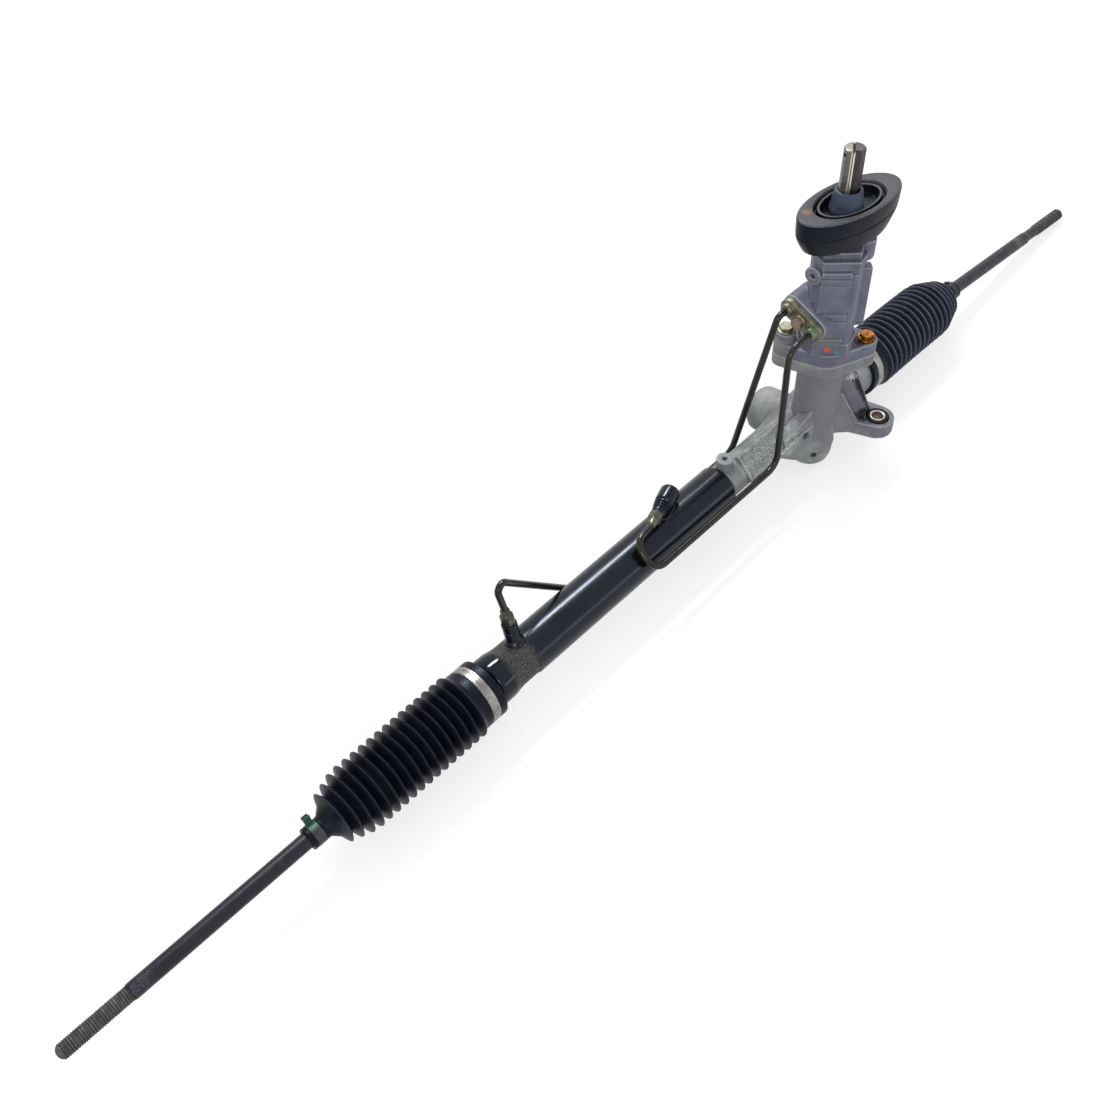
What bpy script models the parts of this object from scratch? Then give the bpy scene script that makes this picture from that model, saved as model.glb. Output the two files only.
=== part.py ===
"""Hydraulic rack and pinion steering gear, modelled as an assembly of separate pieces.

Metres, +Z up. The origin is on the rack's axis at the pinion, +X runs along the rack and
the valve tower stands up along +Z in front of the rack, on its -Y side.
"""
import math

import bmesh
import bpy
from mathutils import Matrix, Vector

for old in list(bpy.data.objects):
    bpy.data.objects.remove(old, do_unlink=True)

MM = 0.001

# Facets round a circle
LARGE = 24
MEDIUM = 16
SMALL = 12
RIBBED = 22

# Clearances
FIT = 0.3 * MM
RUN = 1.0 * MM

# Rack and pinion teeth
TOOTH_MODULE = 2.0 * MM
PINION_TEETH = 8
PRESSURE_ANGLE = math.radians(25)
PROFILE_SHIFT = 0.35
PINION_ADDENDUM = 0.85
RACK_ADDENDUM = 1.9 * MM
TIP_CLEARANCE = 0.4 * MM
BACKLASH = 0.2 * MM
TOOTH_LENGTH = 26 * MM
RACK_RADIUS = 12 * MM
RACK_TOOTH_DROP = 2.8 * MM
RACK_TRAVEL = 70 * MM
RACK_STOP_GAP = 4 * MM

# Power cylinder
CYLINDER_RADIUS = 20 * MM
CYLINDER_BORE = 17.5 * MM
CYLINDER_RIGHT_END = 118 * MM
CYLINDER_LENGTH = 250 * MM
STUB_LENGTH = 64 * MM
BEAD_START = 19 * MM
BEAD_RISE = 8 * MM
BEAD_LENGTH = 11 * MM
BEAD_FALL = 3 * MM
STUB_RADIUS = 19 * MM
END_RING_RADIUS = 21.5 * MM
END_RING_LENGTH = 20 * MM
PISTON_WIDTH = 16 * MM
PISTON_GROOVE = 6 * MM
PISTON_GROOVE_DEPTH = 2.6 * MM
RACK_BUSH_LENGTH = 9 * MM
RACK_SEAL_LENGTH = 4.5 * MM
PORT_HOLE = 2 * MM

# Rack housing
TUBE_RADIUS = 16.5 * MM
RACK_BORE = 13 * MM
SPIGOT_LENGTH = 32 * MM
RIGHT_TUBE_RADIUS = 23 * MM
RIGHT_TUBE_END = 108 * MM
RIGHT_TUBE_START = 22 * MM
SWELL_START = -42 * MM
SWELL_END = -18 * MM
SWELL_RADIUS = 20.5 * MM
SOCKET_BORE = 18 * MM
RIGHT_BUSH_WALL = 3.2 * MM
BARREL_RADIUS = 20.5 * MM
BARREL_BOTTOM = 33 * MM
BARREL_FOOT_RADIUS = 18 * MM
BARREL_FOOT_HEIGHT = 8 * MM
BARREL_LIP_TOP = -11 * MM
BARREL_LIP_HEIGHT = 4 * MM
BARREL_LIP_OUT = 0.9 * MM
SKIRT_UPPER_LEFT = Vector((-42, -6, 13)) * MM
SKIRT_UPPER_RIGHT = Vector((-14, -27, 40)) * MM
SKIRT_MIDDLE_LEFT = Vector((-48, -16, 6.5)) * MM
SKIRT_MIDDLE_RIGHT = Vector((-14, -28.5, 23)) * MM
SKIRT_LOWER_LEFT = Vector((-56, -20, 1)) * MM
SKIRT_BACK_LEFT = Vector((-44, -2, 1)) * MM
SKIRT_FOOT = Vector((-16, -20, 0)) * MM
SKIRT_FOOT_FRONT = Vector((-13, -31, 0)) * MM
SKIRT_FOOT_INSET = 4 * MM
FLANGE_BOTTOM = 78 * MM
FLANGE_JOINT = 90 * MM
FLANGE_TOP = 103 * MM
FLANGE_RADIUS = 25 * MM
EAR_RADIUS = 9.5 * MM
EAR_SPACING = 35 * MM
EAR_DIRECTION = math.radians(-49)
EAR_BOSS_HEIGHT = 9 * MM
FLANGE_BOLT_RADIUS = 4 * MM
FLANGE_BOLT_HEAD = 6.6 * MM
BOLT_HEAD_HEIGHT = 6 * MM
BOLT_WASHER_HEIGHT = 1.6 * MM
BOSS_X = -109.5 * MM
BOSS_Y = 2 * MM
BOSS_TOP = 27 * MM
BOSS_RADIUS = 7.5 * MM
BOSS_HOLE = 2.5 * MM
BOSS_HOLE_DEPTH = 8 * MM
PANEL_LENGTH = 66 * MM
PANEL_RIGHT_END = 30 * MM
PANEL_HALF_WIDTH = 13.5 * MM
PANEL_HEIGHT = 16.8 * MM
PANEL_RAIL = 3 * MM
PANEL_RECESS = 1.2 * MM
PANEL_TURN = math.radians(45)

# Mounting lug
LUG_X = 43 * MM
LUG_Y = -57.5 * MM
LUG_RADIUS = 15.5 * MM
LUG_ROOT_RADIUS = 19 * MM
LUG_ROOT_X = 28 * MM
LUG_ROOT_Y = -8 * MM
LUG_BOTTOM = -7.5 * MM
LUG_TOP = 7 * MM
LUG_BORE = 11 * MM
SLEEVE_RADIUS = 7.2 * MM
SLEEVE_BORE = 5.2 * MM
SLEEVE_STICKOUT = 1 * MM
GUSSET_HEIGHT = 66 * MM
GUSSET_THICKNESS = 10 * MM
GUSSET_TOP = 32 * MM
GUSSET_FOOT = 55 * MM
GUSSET_BACK = 8 * MM
LUG_RIB_HEIGHT = 42 * MM
LUG_RIB_TOP = 22 * MM
LUG_RIB_FOOT = 40 * MM
LUG_RIB_THICKNESS = 5 * MM
LUG_RIB_FRONT = 3 * MM

# Yoke
YOKE_X = -6 * MM
YOKE_TILT = math.radians(-8)
YOKE_RADIUS = 14.7 * MM
YOKE_BOSS_RADIUS = 21.5 * MM
YOKE_BOSS_END = 41.5 * MM
YOKE_FRONT = 5 * MM
YOKE_BACK = 29.5 * MM
YOKE_POCKET_RADIUS = 9 * MM
YOKE_POCKET_DEPTH = 14 * MM
YOKE_PLUG_START = 32 * MM
YOKE_PLUG_HEX = 7 * MM
YOKE_PLUG_HEX_DEPTH = 5 * MM
SPRING_RADIUS = 6.5 * MM
SPRING_WIRE = 1.2 * MM
SPRING_TURNS = 4

# Pinion shaft and its bearings
LOWER_JOURNAL_RADIUS = 6 * MM
LOWER_BEARING_TOP = -15 * MM
LOWER_BEARING_HEIGHT = 8 * MM
LOWER_BEARING_RADIUS = 14.7 * MM
PINION_NUT_HEIGHT = 4 * MM
PINION_NUT_RADIUS = 9.5 * MM
CAP_HEIGHT = 5 * MM
CAP_STICKOUT = 1.5 * MM
UPPER_JOURNAL_RADIUS = 8.7 * MM
UPPER_BEARING_BOTTOM = 64 * MM
UPPER_BEARING_HEIGHT = 12 * MM
UPPER_BEARING_RADIUS = 16 * MM
PINION_TOP = 89 * MM

# Valve housing and what turns in it
VALVE_BODY_RADIUS = 20.5 * MM
VALVE_FLAT_HALF = 15 * MM
VALVE_SIDE_HALF = 9 * MM
VALVE_SHOULDER = 197 * MM
VALVE_RIM_HEIGHT = 8 * MM
VALVE_RIM_OUT = 1.6 * MM
VALVE_STEP_HEIGHT = 6 * MM
VALVE_STEP_IN = 3 * MM
TOWER_FOOT_HEIGHT = 11 * MM
TOWER_FOOT_OUT = 2.4 * MM
RAIL_OUT = 1.4 * MM
RAIL_WIDTH = 3.5 * MM
RAIL_LEFT = -9 * MM
RAIL_TOP = 184.5 * MM
LEFT_RAIL_BOTTOM = 150 * MM
NECK_RADIUS = 13.5 * MM
NECK_HEIGHT = 29 * MM
NECK_TOP = VALVE_SHOULDER + NECK_HEIGHT
NECK_BORE = 10.5 * MM
VALVE_BORE = 15.8 * MM
SLEEVE_BOTTOM = 93 * MM
SLEEVE_TOP = 172 * MM
VALVE_SLEEVE_RADIUS = 15.5 * MM
INPUT_SHAFT_RADIUS = 8.6 * MM
INPUT_SHAFT_REACH = 61 * MM
INPUT_SHAFT_TOP = NECK_TOP + INPUT_SHAFT_REACH
INPUT_SHAFT_FLAT = 6.4 * MM
INPUT_SHAFT_FLAT_LENGTH = 36 * MM
SHAFT_NOTCH_WIDTH = 3 * MM
SHAFT_NOTCH_DEPTH = 5 * MM
SHAFT_HOLE_RADIUS = 1.6 * MM
SHAFT_HOLE_DOWN = 8 * MM
TORSION_BAR_RADIUS = 3 * MM
TORSION_BAR_BOTTOM = 68 * MM
TORSION_BAR_DOWN = 25 * MM
TORSION_BAR_TOP = INPUT_SHAFT_TOP - TORSION_BAR_DOWN
SHAFT_BEARING_HEIGHT = 10 * MM
SHAFT_SEAL_HEIGHT = 4 * MM
STRIP_BOTTOM = 118 * MM
STRIP_TOP = 177 * MM
STRIP_WIDTH = 9 * MM
STRIP_OUT = 29.5 * MM
STRIP_DIRECTION = math.radians(-42)
LOBE_RADIUS = 9 * MM
LOBE_DISTANCE = 20.5 * MM
LOBE_DIRECTION = math.radians(-40)
LOBE_RISE = 8 * MM
LOBE_HEIGHT = 22 * MM
LOBE_TOP = VALVE_SHOULDER + LOBE_RISE
SIDE_BOSS_FACE = -28 * MM
SIDE_BOSS_Y = -11 * MM
SIDE_BOSS_Z = 181 * MM
SIDE_BOSS_RADIUS = 7.8 * MM
SIDE_BOSS_HOLE = 2.5 * MM
SIDE_BOSS_HOLE_DEPTH = 9 * MM
SIDE_WEB_OUT = 24 * MM
SIDE_WEB_WAIST = 21.5 * MM
SIDE_WEB_THICKNESS = 6 * MM

# Pipe plate
PLATE_FACE = -30 * MM
PLATE_THICKNESS = 6 * MM
PLATE_Y = -10 * MM
PLATE_Z = 140 * MM
PLATE_SPACING = 14.2 * MM
PLATE_TILT = math.radians(25)
PLATE_RADIUS = 8.2 * MM
PLATE_COLLAR_RADIUS = 5.6 * MM
PLATE_COLLAR_LENGTH = 4 * MM
PLATE_BOLT_RADIUS = 3 * MM
PLATE_BOLT_HEAD = 5.5 * MM
PLATE_BOLT_LENGTH = 12 * MM

# Bulkhead seal and dust collar
SEAL_OFFSET = 3 * MM
SEAL_TURN = math.radians(-11)
SEAL_RISE = 11 * MM
SEAL_FOOT_HEIGHT = 7.5 * MM
SEAL_HEIGHT = 33 * MM
SEAL_BOTTOM = VALVE_SHOULDER + SEAL_RISE
SEAL_STEP = SEAL_BOTTOM + SEAL_FOOT_HEIGHT
SEAL_TOP = SEAL_BOTTOM + SEAL_HEIGHT
SEAL_LENGTH = 104 * MM
SEAL_WIDTH = 48 * MM
SEAL_FOOT_LENGTH = 86 * MM
SEAL_FOOT_WIDTH = 43 * MM
SEAL_GROOVE_LENGTH = 70 * MM
SEAL_GROOVE_WIDTH = 39 * MM
SEAL_LIP_LENGTH = 65 * MM
SEAL_LIP_WIDTH = 35 * MM
SEAL_WELL_LENGTH = 58 * MM
SEAL_WELL_WIDTH = 29.5 * MM
SEAL_WELL_DEPTH = 8 * MM
SEAL_GROOVE_DEPTH = 5 * MM
COLLAR_HEIGHT = 34 * MM
COLLAR_TOP = NECK_TOP + COLLAR_HEIGHT
COLLAR_TOP_RADIUS = 11.8 * MM
COLLAR_BASE_RADIUS = 14 * MM

# Ports and pipes
PIPE_RADIUS = 3 * MM
PORT_RADIUS = 6.5 * MM
LEFT_PORT_TOP = 38 * MM
LEFT_PORT_LEAN = math.radians(14)
PORT_SEAL_GAP = 3.2 * MM
NUT_RADIUS = 6.3 * MM
NUT_LENGTH = 9 * MM
MID_PORT_HEIGHT = 27.5 * MM
MID_PORT_RADIUS = 7.8 * MM
MID_PORT_LENGTH = 31 * MM
MID_PORT_TURN = math.radians(197.5)
MID_PORT_Y = 7 * MM
MID_PORT_AHEAD = 17 * MM
MID_FOOT_LENGTH = 20 * MM
MID_FOOT_WIDTH = 11 * MM
PIPE_BEND = 13 * MM
LEFT_PIPE_LOOP = Vector((-6, 15, 88)) * MM
LEFT_PIPE_DIVE = 86 * MM
LEFT_PIPE_RISE_X = -68 * MM
LEFT_PIPE_LEAD = 20 * MM
PIPE_BEHIND_DROP = math.radians(25)
PIPE_CYLINDER_GAP = 4.5 * MM
MID_PIPE_TOP = Vector((0, -6, 29)) * MM
MID_PIPE_TURN = 28 * MM
MID_PIPE_FRONT_Z = 9 * MM
MID_PIPE_FRONT_GAP = 2.5 * MM
MID_PIPE_RISE = Vector((-68, 0, 5)) * MM
MID_PIPE_LEAD = 37 * MM

# Ball joints and tie rods
BALL_OUT_LEFT = 55 * MM
BALL_OUT_RIGHT = 82 * MM
BALL_RADIUS = 11 * MM
BALL_GAP = 0.4 * MM
SEAT_WALL = 2 * MM
SOCKET_RADIUS = 16 * MM
SOCKET_BACK = 24 * MM
SOCKET_FRONT = 14 * MM
SOCKET_STUD_RADIUS = 7 * MM
SOCKET_STUD_LENGTH = 18 * MM
SOCKET_HEX = 13.5 * MM
SOCKET_HEX_LENGTH = 9 * MM
SEAT_MOUTH_RADIUS = 9.6 * MM
SEAT_MOUTH = 5.4 * MM
SOCKET_MOUTH_RADIUS = 12.9 * MM
ROD_LENGTH = 313 * MM
ROD_RADIUS = 6.5 * MM
ROD_NECK_RADIUS = 5.5 * MM
THREAD_RADIUS = 6 * MM
THREAD_LENGTH = 57 * MM
RIGHT_DROOP = math.radians(6.5)

# Bellows
BELLOWS_WALL = 3.5 * MM
RIB_PITCH = 8.1 * MM
LEFT_RIBS = 17
LEFT_RIB_RADIUS = 28.5 * MM
LEFT_FIRST_RIB = 22.3 * MM
RIGHT_RIBS = 17
RIGHT_RIB_RADIUS = 30 * MM
RIGHT_FIRST_RIB = 21.5 * MM
RIB_GROWTH = 2.6 * MM
RIB_DEPTH = 5.2 * MM
CUFF_LENGTH = 22 * MM
CUFF_WALL = 3.7 * MM
CUFF_GROOVE = 1.2 * MM
BAND_WIDTH = 8 * MM
BAND_THICKNESS = 0.9 * MM
SMALL_CUFF_LENGTH = 15 * MM
SMALL_CUFF_RADIUS = 9.2 * MM
SMALL_END_LEFT = 104 * MM
SMALL_END_RIGHT = 80 * MM
CLIP_WIDTH = 8 * MM
CLIP_THICKNESS = 1.1 * MM
CLIP_TAB = 7 * MM
CLIP_TAB_WIDTH = 5.6 * MM
CLIP_TAB_LEAN = math.radians(33)

# Worked-out places
PITCH = math.pi * TOOTH_MODULE
PITCH_RADIUS = TOOTH_MODULE * PINION_TEETH / 2
PINION_TIP = PITCH_RADIUS + TOOTH_MODULE * (PINION_ADDENDUM + PROFILE_SHIFT)
RACK_LINE = PITCH_RADIUS + TOOTH_MODULE * PROFILE_SHIFT
RACK_TIP_Y = -(RACK_RADIUS - RACK_TOOTH_DROP)
RACK_LINE_Y = RACK_TIP_Y + RACK_ADDENDUM
RACK_ROOT_Y = RACK_LINE_Y + (PINION_TIP - RACK_LINE) + TIP_CLEARANCE
PINION_Y = RACK_LINE_Y - RACK_LINE
PINION_ROOT = RACK_LINE - RACK_ADDENDUM - TIP_CLEARANCE
SHOULDER_X = -CYLINDER_RIGHT_END - CYLINDER_LENGTH
STUB_X = SHOULDER_X - STUB_LENGTH
BALL_LEFT_X = STUB_X - BALL_OUT_LEFT
BALL_RIGHT_X = RIGHT_TUBE_END + BALL_OUT_RIGHT
RACK_LEFT_X = BALL_LEFT_X + SOCKET_BACK + FIT
RACK_RIGHT_X = BALL_RIGHT_X - SOCKET_BACK - FIT
LEFT_BUSH_X = BALL_LEFT_X + SOCKET_BACK + RACK_TRAVEL + RACK_STOP_GAP
LEFT_SEAL_X = LEFT_BUSH_X + RACK_BUSH_LENGTH + FIT
LEFT_PORT_X = LEFT_SEAL_X + RACK_SEAL_LENGTH + PORT_SEAL_GAP
PISTON_X = LEFT_PORT_X + RACK_TRAVEL + PISTON_WIDTH / 2 + 2 * PORT_RADIUS
MID_PORT_X = PISTON_X + RACK_TRAVEL + PISTON_WIDTH / 2 + MID_PORT_AHEAD
RIGHT_BUSH_X = BALL_RIGHT_X - SOCKET_BACK - RACK_TRAVEL - RACK_STOP_GAP - 2 * RACK_BUSH_LENGTH
PINION_BORE = PINION_TIP + RUN
CAP_X = -BARREL_BOTTOM - CAP_STICKOUT
COLLAR_BASE = SEAL_TOP - SEAL_WELL_DEPTH + FIT

PART_COLLECTION = bpy.data.collections.new("rack_and_pinion")
CUTTER_COLLECTION = bpy.data.collections.new("cutters")
bpy.context.scene.collection.children.link(PART_COLLECTION)
bpy.context.scene.collection.children.link(CUTTER_COLLECTION)


def material(name, colour, roughness, metallic):
    made = bpy.data.materials.new(name)
    made.use_nodes = True
    shader = made.node_tree.nodes["Principled BSDF"]
    shader.inputs["Base Color"].default_value = (*colour, 1)
    shader.inputs["Roughness"].default_value = roughness
    shader.inputs["Metallic"].default_value = metallic
    made.diffuse_color = (*colour, 1)
    return made


CAST = material("cast_aluminium", (0.32, 0.33, 0.34), 0.5, 0.7)
TOWER_CAST = material("tower_casting", (0.16, 0.165, 0.2), 0.55, 0.6)
BLACK_PAINT = material("black_paint", (0.012, 0.014, 0.018), 0.2, 0.0)
STEEL = material("plain_steel", (0.35, 0.34, 0.33), 0.35, 1.0)
SHAFT_STEEL = material("shaft_steel", (0.3, 0.26, 0.22), 0.4, 1.0)
PIPE_STEEL = material("pipe_steel", (0.14, 0.13, 0.1), 0.4, 0.9)
ZINC = material("yellow_zinc", (0.42, 0.33, 0.14), 0.4, 0.9)
BAND_STEEL = material("band_steel", (0.5, 0.5, 0.48), 0.3, 1.0)
ROD_STEEL = material("rod_steel", (0.03, 0.028, 0.026), 0.5, 0.5)
RUBBER = material("black_rubber", (0.012, 0.012, 0.013), 0.6, 0.0)
SLATE_RUBBER = material("slate_rubber", (0.035, 0.042, 0.055), 0.55, 0.0)
PLASTIC = material("white_plastic", (0.6, 0.58, 0.52), 0.5, 0.0)
BRONZE = material("bush_bronze", (0.45, 0.28, 0.12), 0.4, 1.0)


def add_object(name, mesh, collection):
    made = bpy.data.objects.new(name, mesh)
    collection.objects.link(made)
    if collection == CUTTER_COLLECTION:
        made.hide_render = True
        made.display_type = "WIRE"
    return made


def freeze(thing):
    """Turn an object's modifiers or curve into one welded mesh that faces out."""
    bpy.context.view_layer.update()
    depsgraph = bpy.context.evaluated_depsgraph_get()
    mesh = bpy.data.meshes.new_from_object(thing.evaluated_get(depsgraph))
    shape = bmesh.new()
    shape.from_mesh(mesh)
    bmesh.ops.remove_doubles(shape, verts=shape.verts, dist=0.002 * MM)
    bmesh.ops.dissolve_degenerate(shape, edges=shape.edges, dist=0.001 * MM)
    bmesh.ops.recalc_face_normals(shape, faces=shape.faces)
    shape.to_mesh(mesh)
    shape.free()
    if thing.type == "MESH":
        thing.modifiers.clear()
        thing.data = mesh
        return thing
    solid = add_object(thing.name + "_solid", mesh, thing.users_collection[0])
    solid.matrix_world = thing.matrix_world.copy()
    name = thing.name
    bpy.data.objects.remove(thing, do_unlink=True)
    solid.name = name
    return solid


def turned(name, outline, steps=MEDIUM, collection=PART_COLLECTION, closed=True):
    """Turn an outline of (height, radius) points, down its outer side first, about local Z."""
    mesh = bpy.data.meshes.new(name)
    points = [(radius, 0, height) for height, radius in outline]
    edges = [(index, index + 1) for index in range(len(points) - 1)]
    if closed:
        edges.append((len(points) - 1, 0))
    mesh.from_pydata(points, edges, [])
    made = add_object(name, mesh, collection)
    screw = made.modifiers.new("turn", "SCREW")
    screw.steps = steps
    screw.render_steps = steps
    screw.use_merge_vertices = True
    screw.merge_threshold = 0.01 * MM
    return freeze(made)


def ring(name, low, high, inner, outer, steps=MEDIUM, collection=PART_COLLECTION):
    return turned(name, [(high, outer), (low, outer), (low, inner), (high, inner)], steps, collection)


def rod(name, low, high, radius, steps=MEDIUM, collection=PART_COLLECTION):
    return turned(name, [(high, 0), (high, radius), (low, radius), (low, 0)], steps, collection, closed=False)


def prism(name, outline, low, high, collection=PART_COLLECTION):
    """Extrude a flat closed outline of (x, y) points from one height to another along local Z."""
    curve = bpy.data.curves.new(name, "CURVE")
    curve.dimensions = "2D"
    curve.fill_mode = "BOTH"
    curve.extrude = (high - low) / 2
    spline = curve.splines.new("POLY")
    spline.points.add(len(outline) - 1)
    for point, (x, y) in zip(spline.points, outline):
        point.co = (x, y, 0, 1)
    spline.use_cyclic_u = True
    made = freeze(add_object(name, curve, collection))
    made.data.transform(Matrix.Translation((0, 0, (low + high) / 2)))
    return made


def block(name, size, collection=CUTTER_COLLECTION):
    mesh = bpy.data.meshes.new(name)
    shape = bmesh.new()
    bmesh.ops.create_cube(shape, size=1)
    bmesh.ops.scale(shape, vec=size, verts=shape.verts)
    shape.to_mesh(mesh)
    shape.free()
    return add_object(name, mesh, collection)


def hull(name, points):
    """The smallest convex solid round some points, for casting swells."""
    mesh = bpy.data.meshes.new(name)
    shape = bmesh.new()
    for point in points:
        shape.verts.new(point)
    bmesh.ops.convex_hull(shape, input=shape.verts)
    bmesh.ops.recalc_face_normals(shape, faces=shape.faces)
    shape.to_mesh(mesh)
    shape.free()
    return add_object(name, mesh, CUTTER_COLLECTION)


def place(thing, location=(0, 0, 0), rotation=(0, 0, 0)):
    """Put a shape in its place and keep it there as its own frame's origin."""
    thing.location = location
    thing.rotation_euler = rotation
    return thing


ALONG_X = (0, math.pi / 2, 0)
AGAINST_X = (0, -math.pi / 2, 0)


def combine(target, others, operation):
    for other in others:
        boolean = target.modifiers.new("combine", "BOOLEAN")
        boolean.operation = operation
        boolean.object = other
        freeze(target)
        bpy.data.objects.remove(other, do_unlink=True)
    return target


def join(target, *others):
    return combine(target, others, "UNION")


def cut(target, *others):
    return combine(target, others, "DIFFERENCE")


def finish(thing, looks, sharp_angle=35):
    thing.data.materials.clear()
    thing.data.materials.append(looks)
    thing.data.shade_smooth()
    thing.data.set_sharp_from_angle(angle=math.radians(sharp_angle))
    return thing


def arc(centre_x, centre_y, radius, start, end, count):
    """Points along an arc, from one angle to another."""
    angles = [start + (end - start) * index / count for index in range(count + 1)]
    return [(centre_x + radius * math.cos(a), centre_y + radius * math.sin(a)) for a in angles]


def two_ears(middle_radius, ear_radius, spacing, direction, centre_x, centre_y):
    """Outline of a round flange with a rounded ear on each of two opposite sides."""
    lean = math.acos((middle_radius - ear_radius) / spacing)
    points = []
    for side in (0, math.pi):
        ahead = direction + side
        ear_x = centre_x + spacing * math.cos(ahead)
        ear_y = centre_y + spacing * math.sin(ahead)
        points += arc(ear_x, ear_y, ear_radius, ahead - lean, ahead + lean, 6)
        points += arc(centre_x, centre_y, middle_radius, ahead + lean, ahead + math.pi - lean, 4)
    return points


def stadium(length, width, count=10):
    """Outline of a straight-sided oblong with round ends, along X."""
    end = (length - width) / 2
    right = arc(end, 0, width / 2, -math.pi / 2, math.pi / 2, count)
    left = arc(-end, 0, width / 2, math.pi / 2, 3 * math.pi / 2, count)
    return right + left


def oval(length, width, count=22):
    """Outline of an ellipse, its length along X."""
    return [(x * length / 2, y * width / 2) for x, y in arc(0, 0, 1, 0, 2 * math.pi, count)[:-1]]


def hexagon(radius):
    return arc(0, 0, radius, 0, 5 * math.pi / 3, 5)


def bent_route(corners, bend_radius, steps=5):
    """Straight runs between corners with a round bend at each, as points."""
    corners = [Vector(corner) for corner in corners]
    route = [corners[0]]
    for before, corner, after in zip(corners, corners[1:], corners[2:]):
        arriving = (corner - before).normalized()
        leaving = (after - corner).normalized()
        turn = arriving.angle(leaving)
        reach = bend_radius * math.tan(turn / 2)
        shortest = min((corner - before).length, (after - corner).length)
        reach = min(reach, 0.49 * shortest)
        radius = reach / math.tan(turn / 2)
        start = corner - arriving * reach
        inward = (leaving - arriving * math.cos(turn)).normalized()
        for index in range(steps + 1):
            angle = turn * index / steps
            along = arriving * (radius * math.sin(angle))
            route.append(start + along + inward * (radius * (1 - math.cos(angle))))
    route.append(corners[-1])
    return route


def tube(name, route, radius, resolution=2):
    curve = bpy.data.curves.new(name, "CURVE")
    curve.dimensions = "3D"
    curve.bevel_depth = radius
    curve.bevel_resolution = resolution
    curve.use_fill_caps = True
    spline = curve.splines.new("POLY")
    spline.points.add(len(route) - 1)
    for point, place_on_route in zip(spline.points, route):
        point.co = (*place_on_route, 1)
    return freeze(add_object(name, curve, PART_COLLECTION))


def cutter_rod(low, high, radius, location=(0, 0, 0), rotation=(0, 0, 0), steps=MEDIUM):
    return place(rod("cutter", low, high, radius, steps, CUTTER_COLLECTION), location, rotation)


def involute(angle):
    return math.tan(angle) - angle


def pinion_outline(points_per_flank=3):
    """Outline of the pinion's teeth, with one tooth pointing along +Y at the rack."""
    base = PITCH_RADIUS * math.cos(PRESSURE_ANGLE)
    thickness = TOOTH_MODULE * (math.pi / 2 + 2 * PROFILE_SHIFT * math.tan(PRESSURE_ANGLE)) - BACKLASH / 2
    half_at_base = thickness / (2 * PITCH_RADIUS) + involute(PRESSURE_ANGLE)
    flank = [(PINION_ROOT, half_at_base)]
    for index in range(points_per_flank + 1):
        radius = base + (PINION_TIP - base) * index / points_per_flank
        flank.append((radius, half_at_base - involute(math.acos(base / radius))))
    outline = []
    for tooth in range(PINION_TEETH):
        middle = math.pi / 2 + 2 * math.pi * tooth / PINION_TEETH
        for radius, half in flank:
            outline.append((radius * math.cos(middle - half), radius * math.sin(middle - half)))
        for radius, half in reversed(flank):
            outline.append((radius * math.cos(middle + half), radius * math.sin(middle + half)))
    return outline


def rack_comb_outline():
    """Outline of everything that is cut away in front of the rack's teeth."""
    gaps = 2 * math.ceil((RACK_TRAVEL + PINION_TIP) / PITCH) + 1
    half_gap = (PITCH + BACKLASH) / 4
    slope = math.tan(PRESSURE_ANGLE)
    at_tip = half_gap + RACK_ADDENDUM * slope
    at_root = half_gap - (RACK_ROOT_Y - RACK_LINE_Y) * slope
    outside = -RACK_RADIUS - RUN
    first = -(gaps // 2) * PITCH
    outline = [(first - at_tip, outside)]
    for index in range(gaps):
        middle = first + index * PITCH
        outline.append((middle - at_tip, RACK_TIP_Y))
        outline.append((middle - at_root, RACK_ROOT_Y))
        outline.append((middle + at_root, RACK_ROOT_Y))
        outline.append((middle + at_tip, RACK_TIP_Y))
    outline.append((-first + at_tip, outside))
    return outline


def make_rack_bar():
    hole = SOCKET_STUD_RADIUS + FIT
    hole_depth = SOCKET_STUD_LENGTH + RUN
    bar = turned("rack_bar", [
        (RACK_RIGHT_X - hole_depth, 0), (RACK_RIGHT_X - hole_depth, hole), (RACK_RIGHT_X, hole),
        (RACK_RIGHT_X, RACK_RADIUS), (RACK_LEFT_X, RACK_RADIUS), (RACK_LEFT_X, hole),
        (RACK_LEFT_X + hole_depth, hole), (RACK_LEFT_X + hole_depth, 0)], MEDIUM, closed=False)
    place(bar, rotation=ALONG_X)
    comb = prism("comb", rack_comb_outline(), -1.2 * RACK_RADIUS, 1.2 * RACK_RADIUS, CUTTER_COLLECTION)
    return finish(cut(bar, comb), STEEL)


def make_pinion():
    half = TOOTH_LENGTH / 2
    journal_end = LOWER_BEARING_TOP - LOWER_BEARING_HEIGHT - FIT - PINION_NUT_HEIGHT
    bore = TORSION_BAR_RADIUS + FIT
    shaft = turned("pinion", [
        (TORSION_BAR_BOTTOM - FIT, 0), (TORSION_BAR_BOTTOM - FIT, bore), (PINION_TOP, bore),
        (PINION_TOP, UPPER_JOURNAL_RADIUS), (half + RUN, UPPER_JOURNAL_RADIUS),
        (half - RUN, PINION_ROOT - FIT), (RUN - half, PINION_ROOT - FIT),
        (RUN - half, LOWER_JOURNAL_RADIUS), (journal_end, LOWER_JOURNAL_RADIUS),
        (journal_end, 0)], closed=False)
    teeth = prism("teeth", pinion_outline(), -half, half, CUTTER_COLLECTION)
    join(shaft, teeth)
    return finish(place(shaft, (0, PINION_Y, 0)), STEEL)


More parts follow.
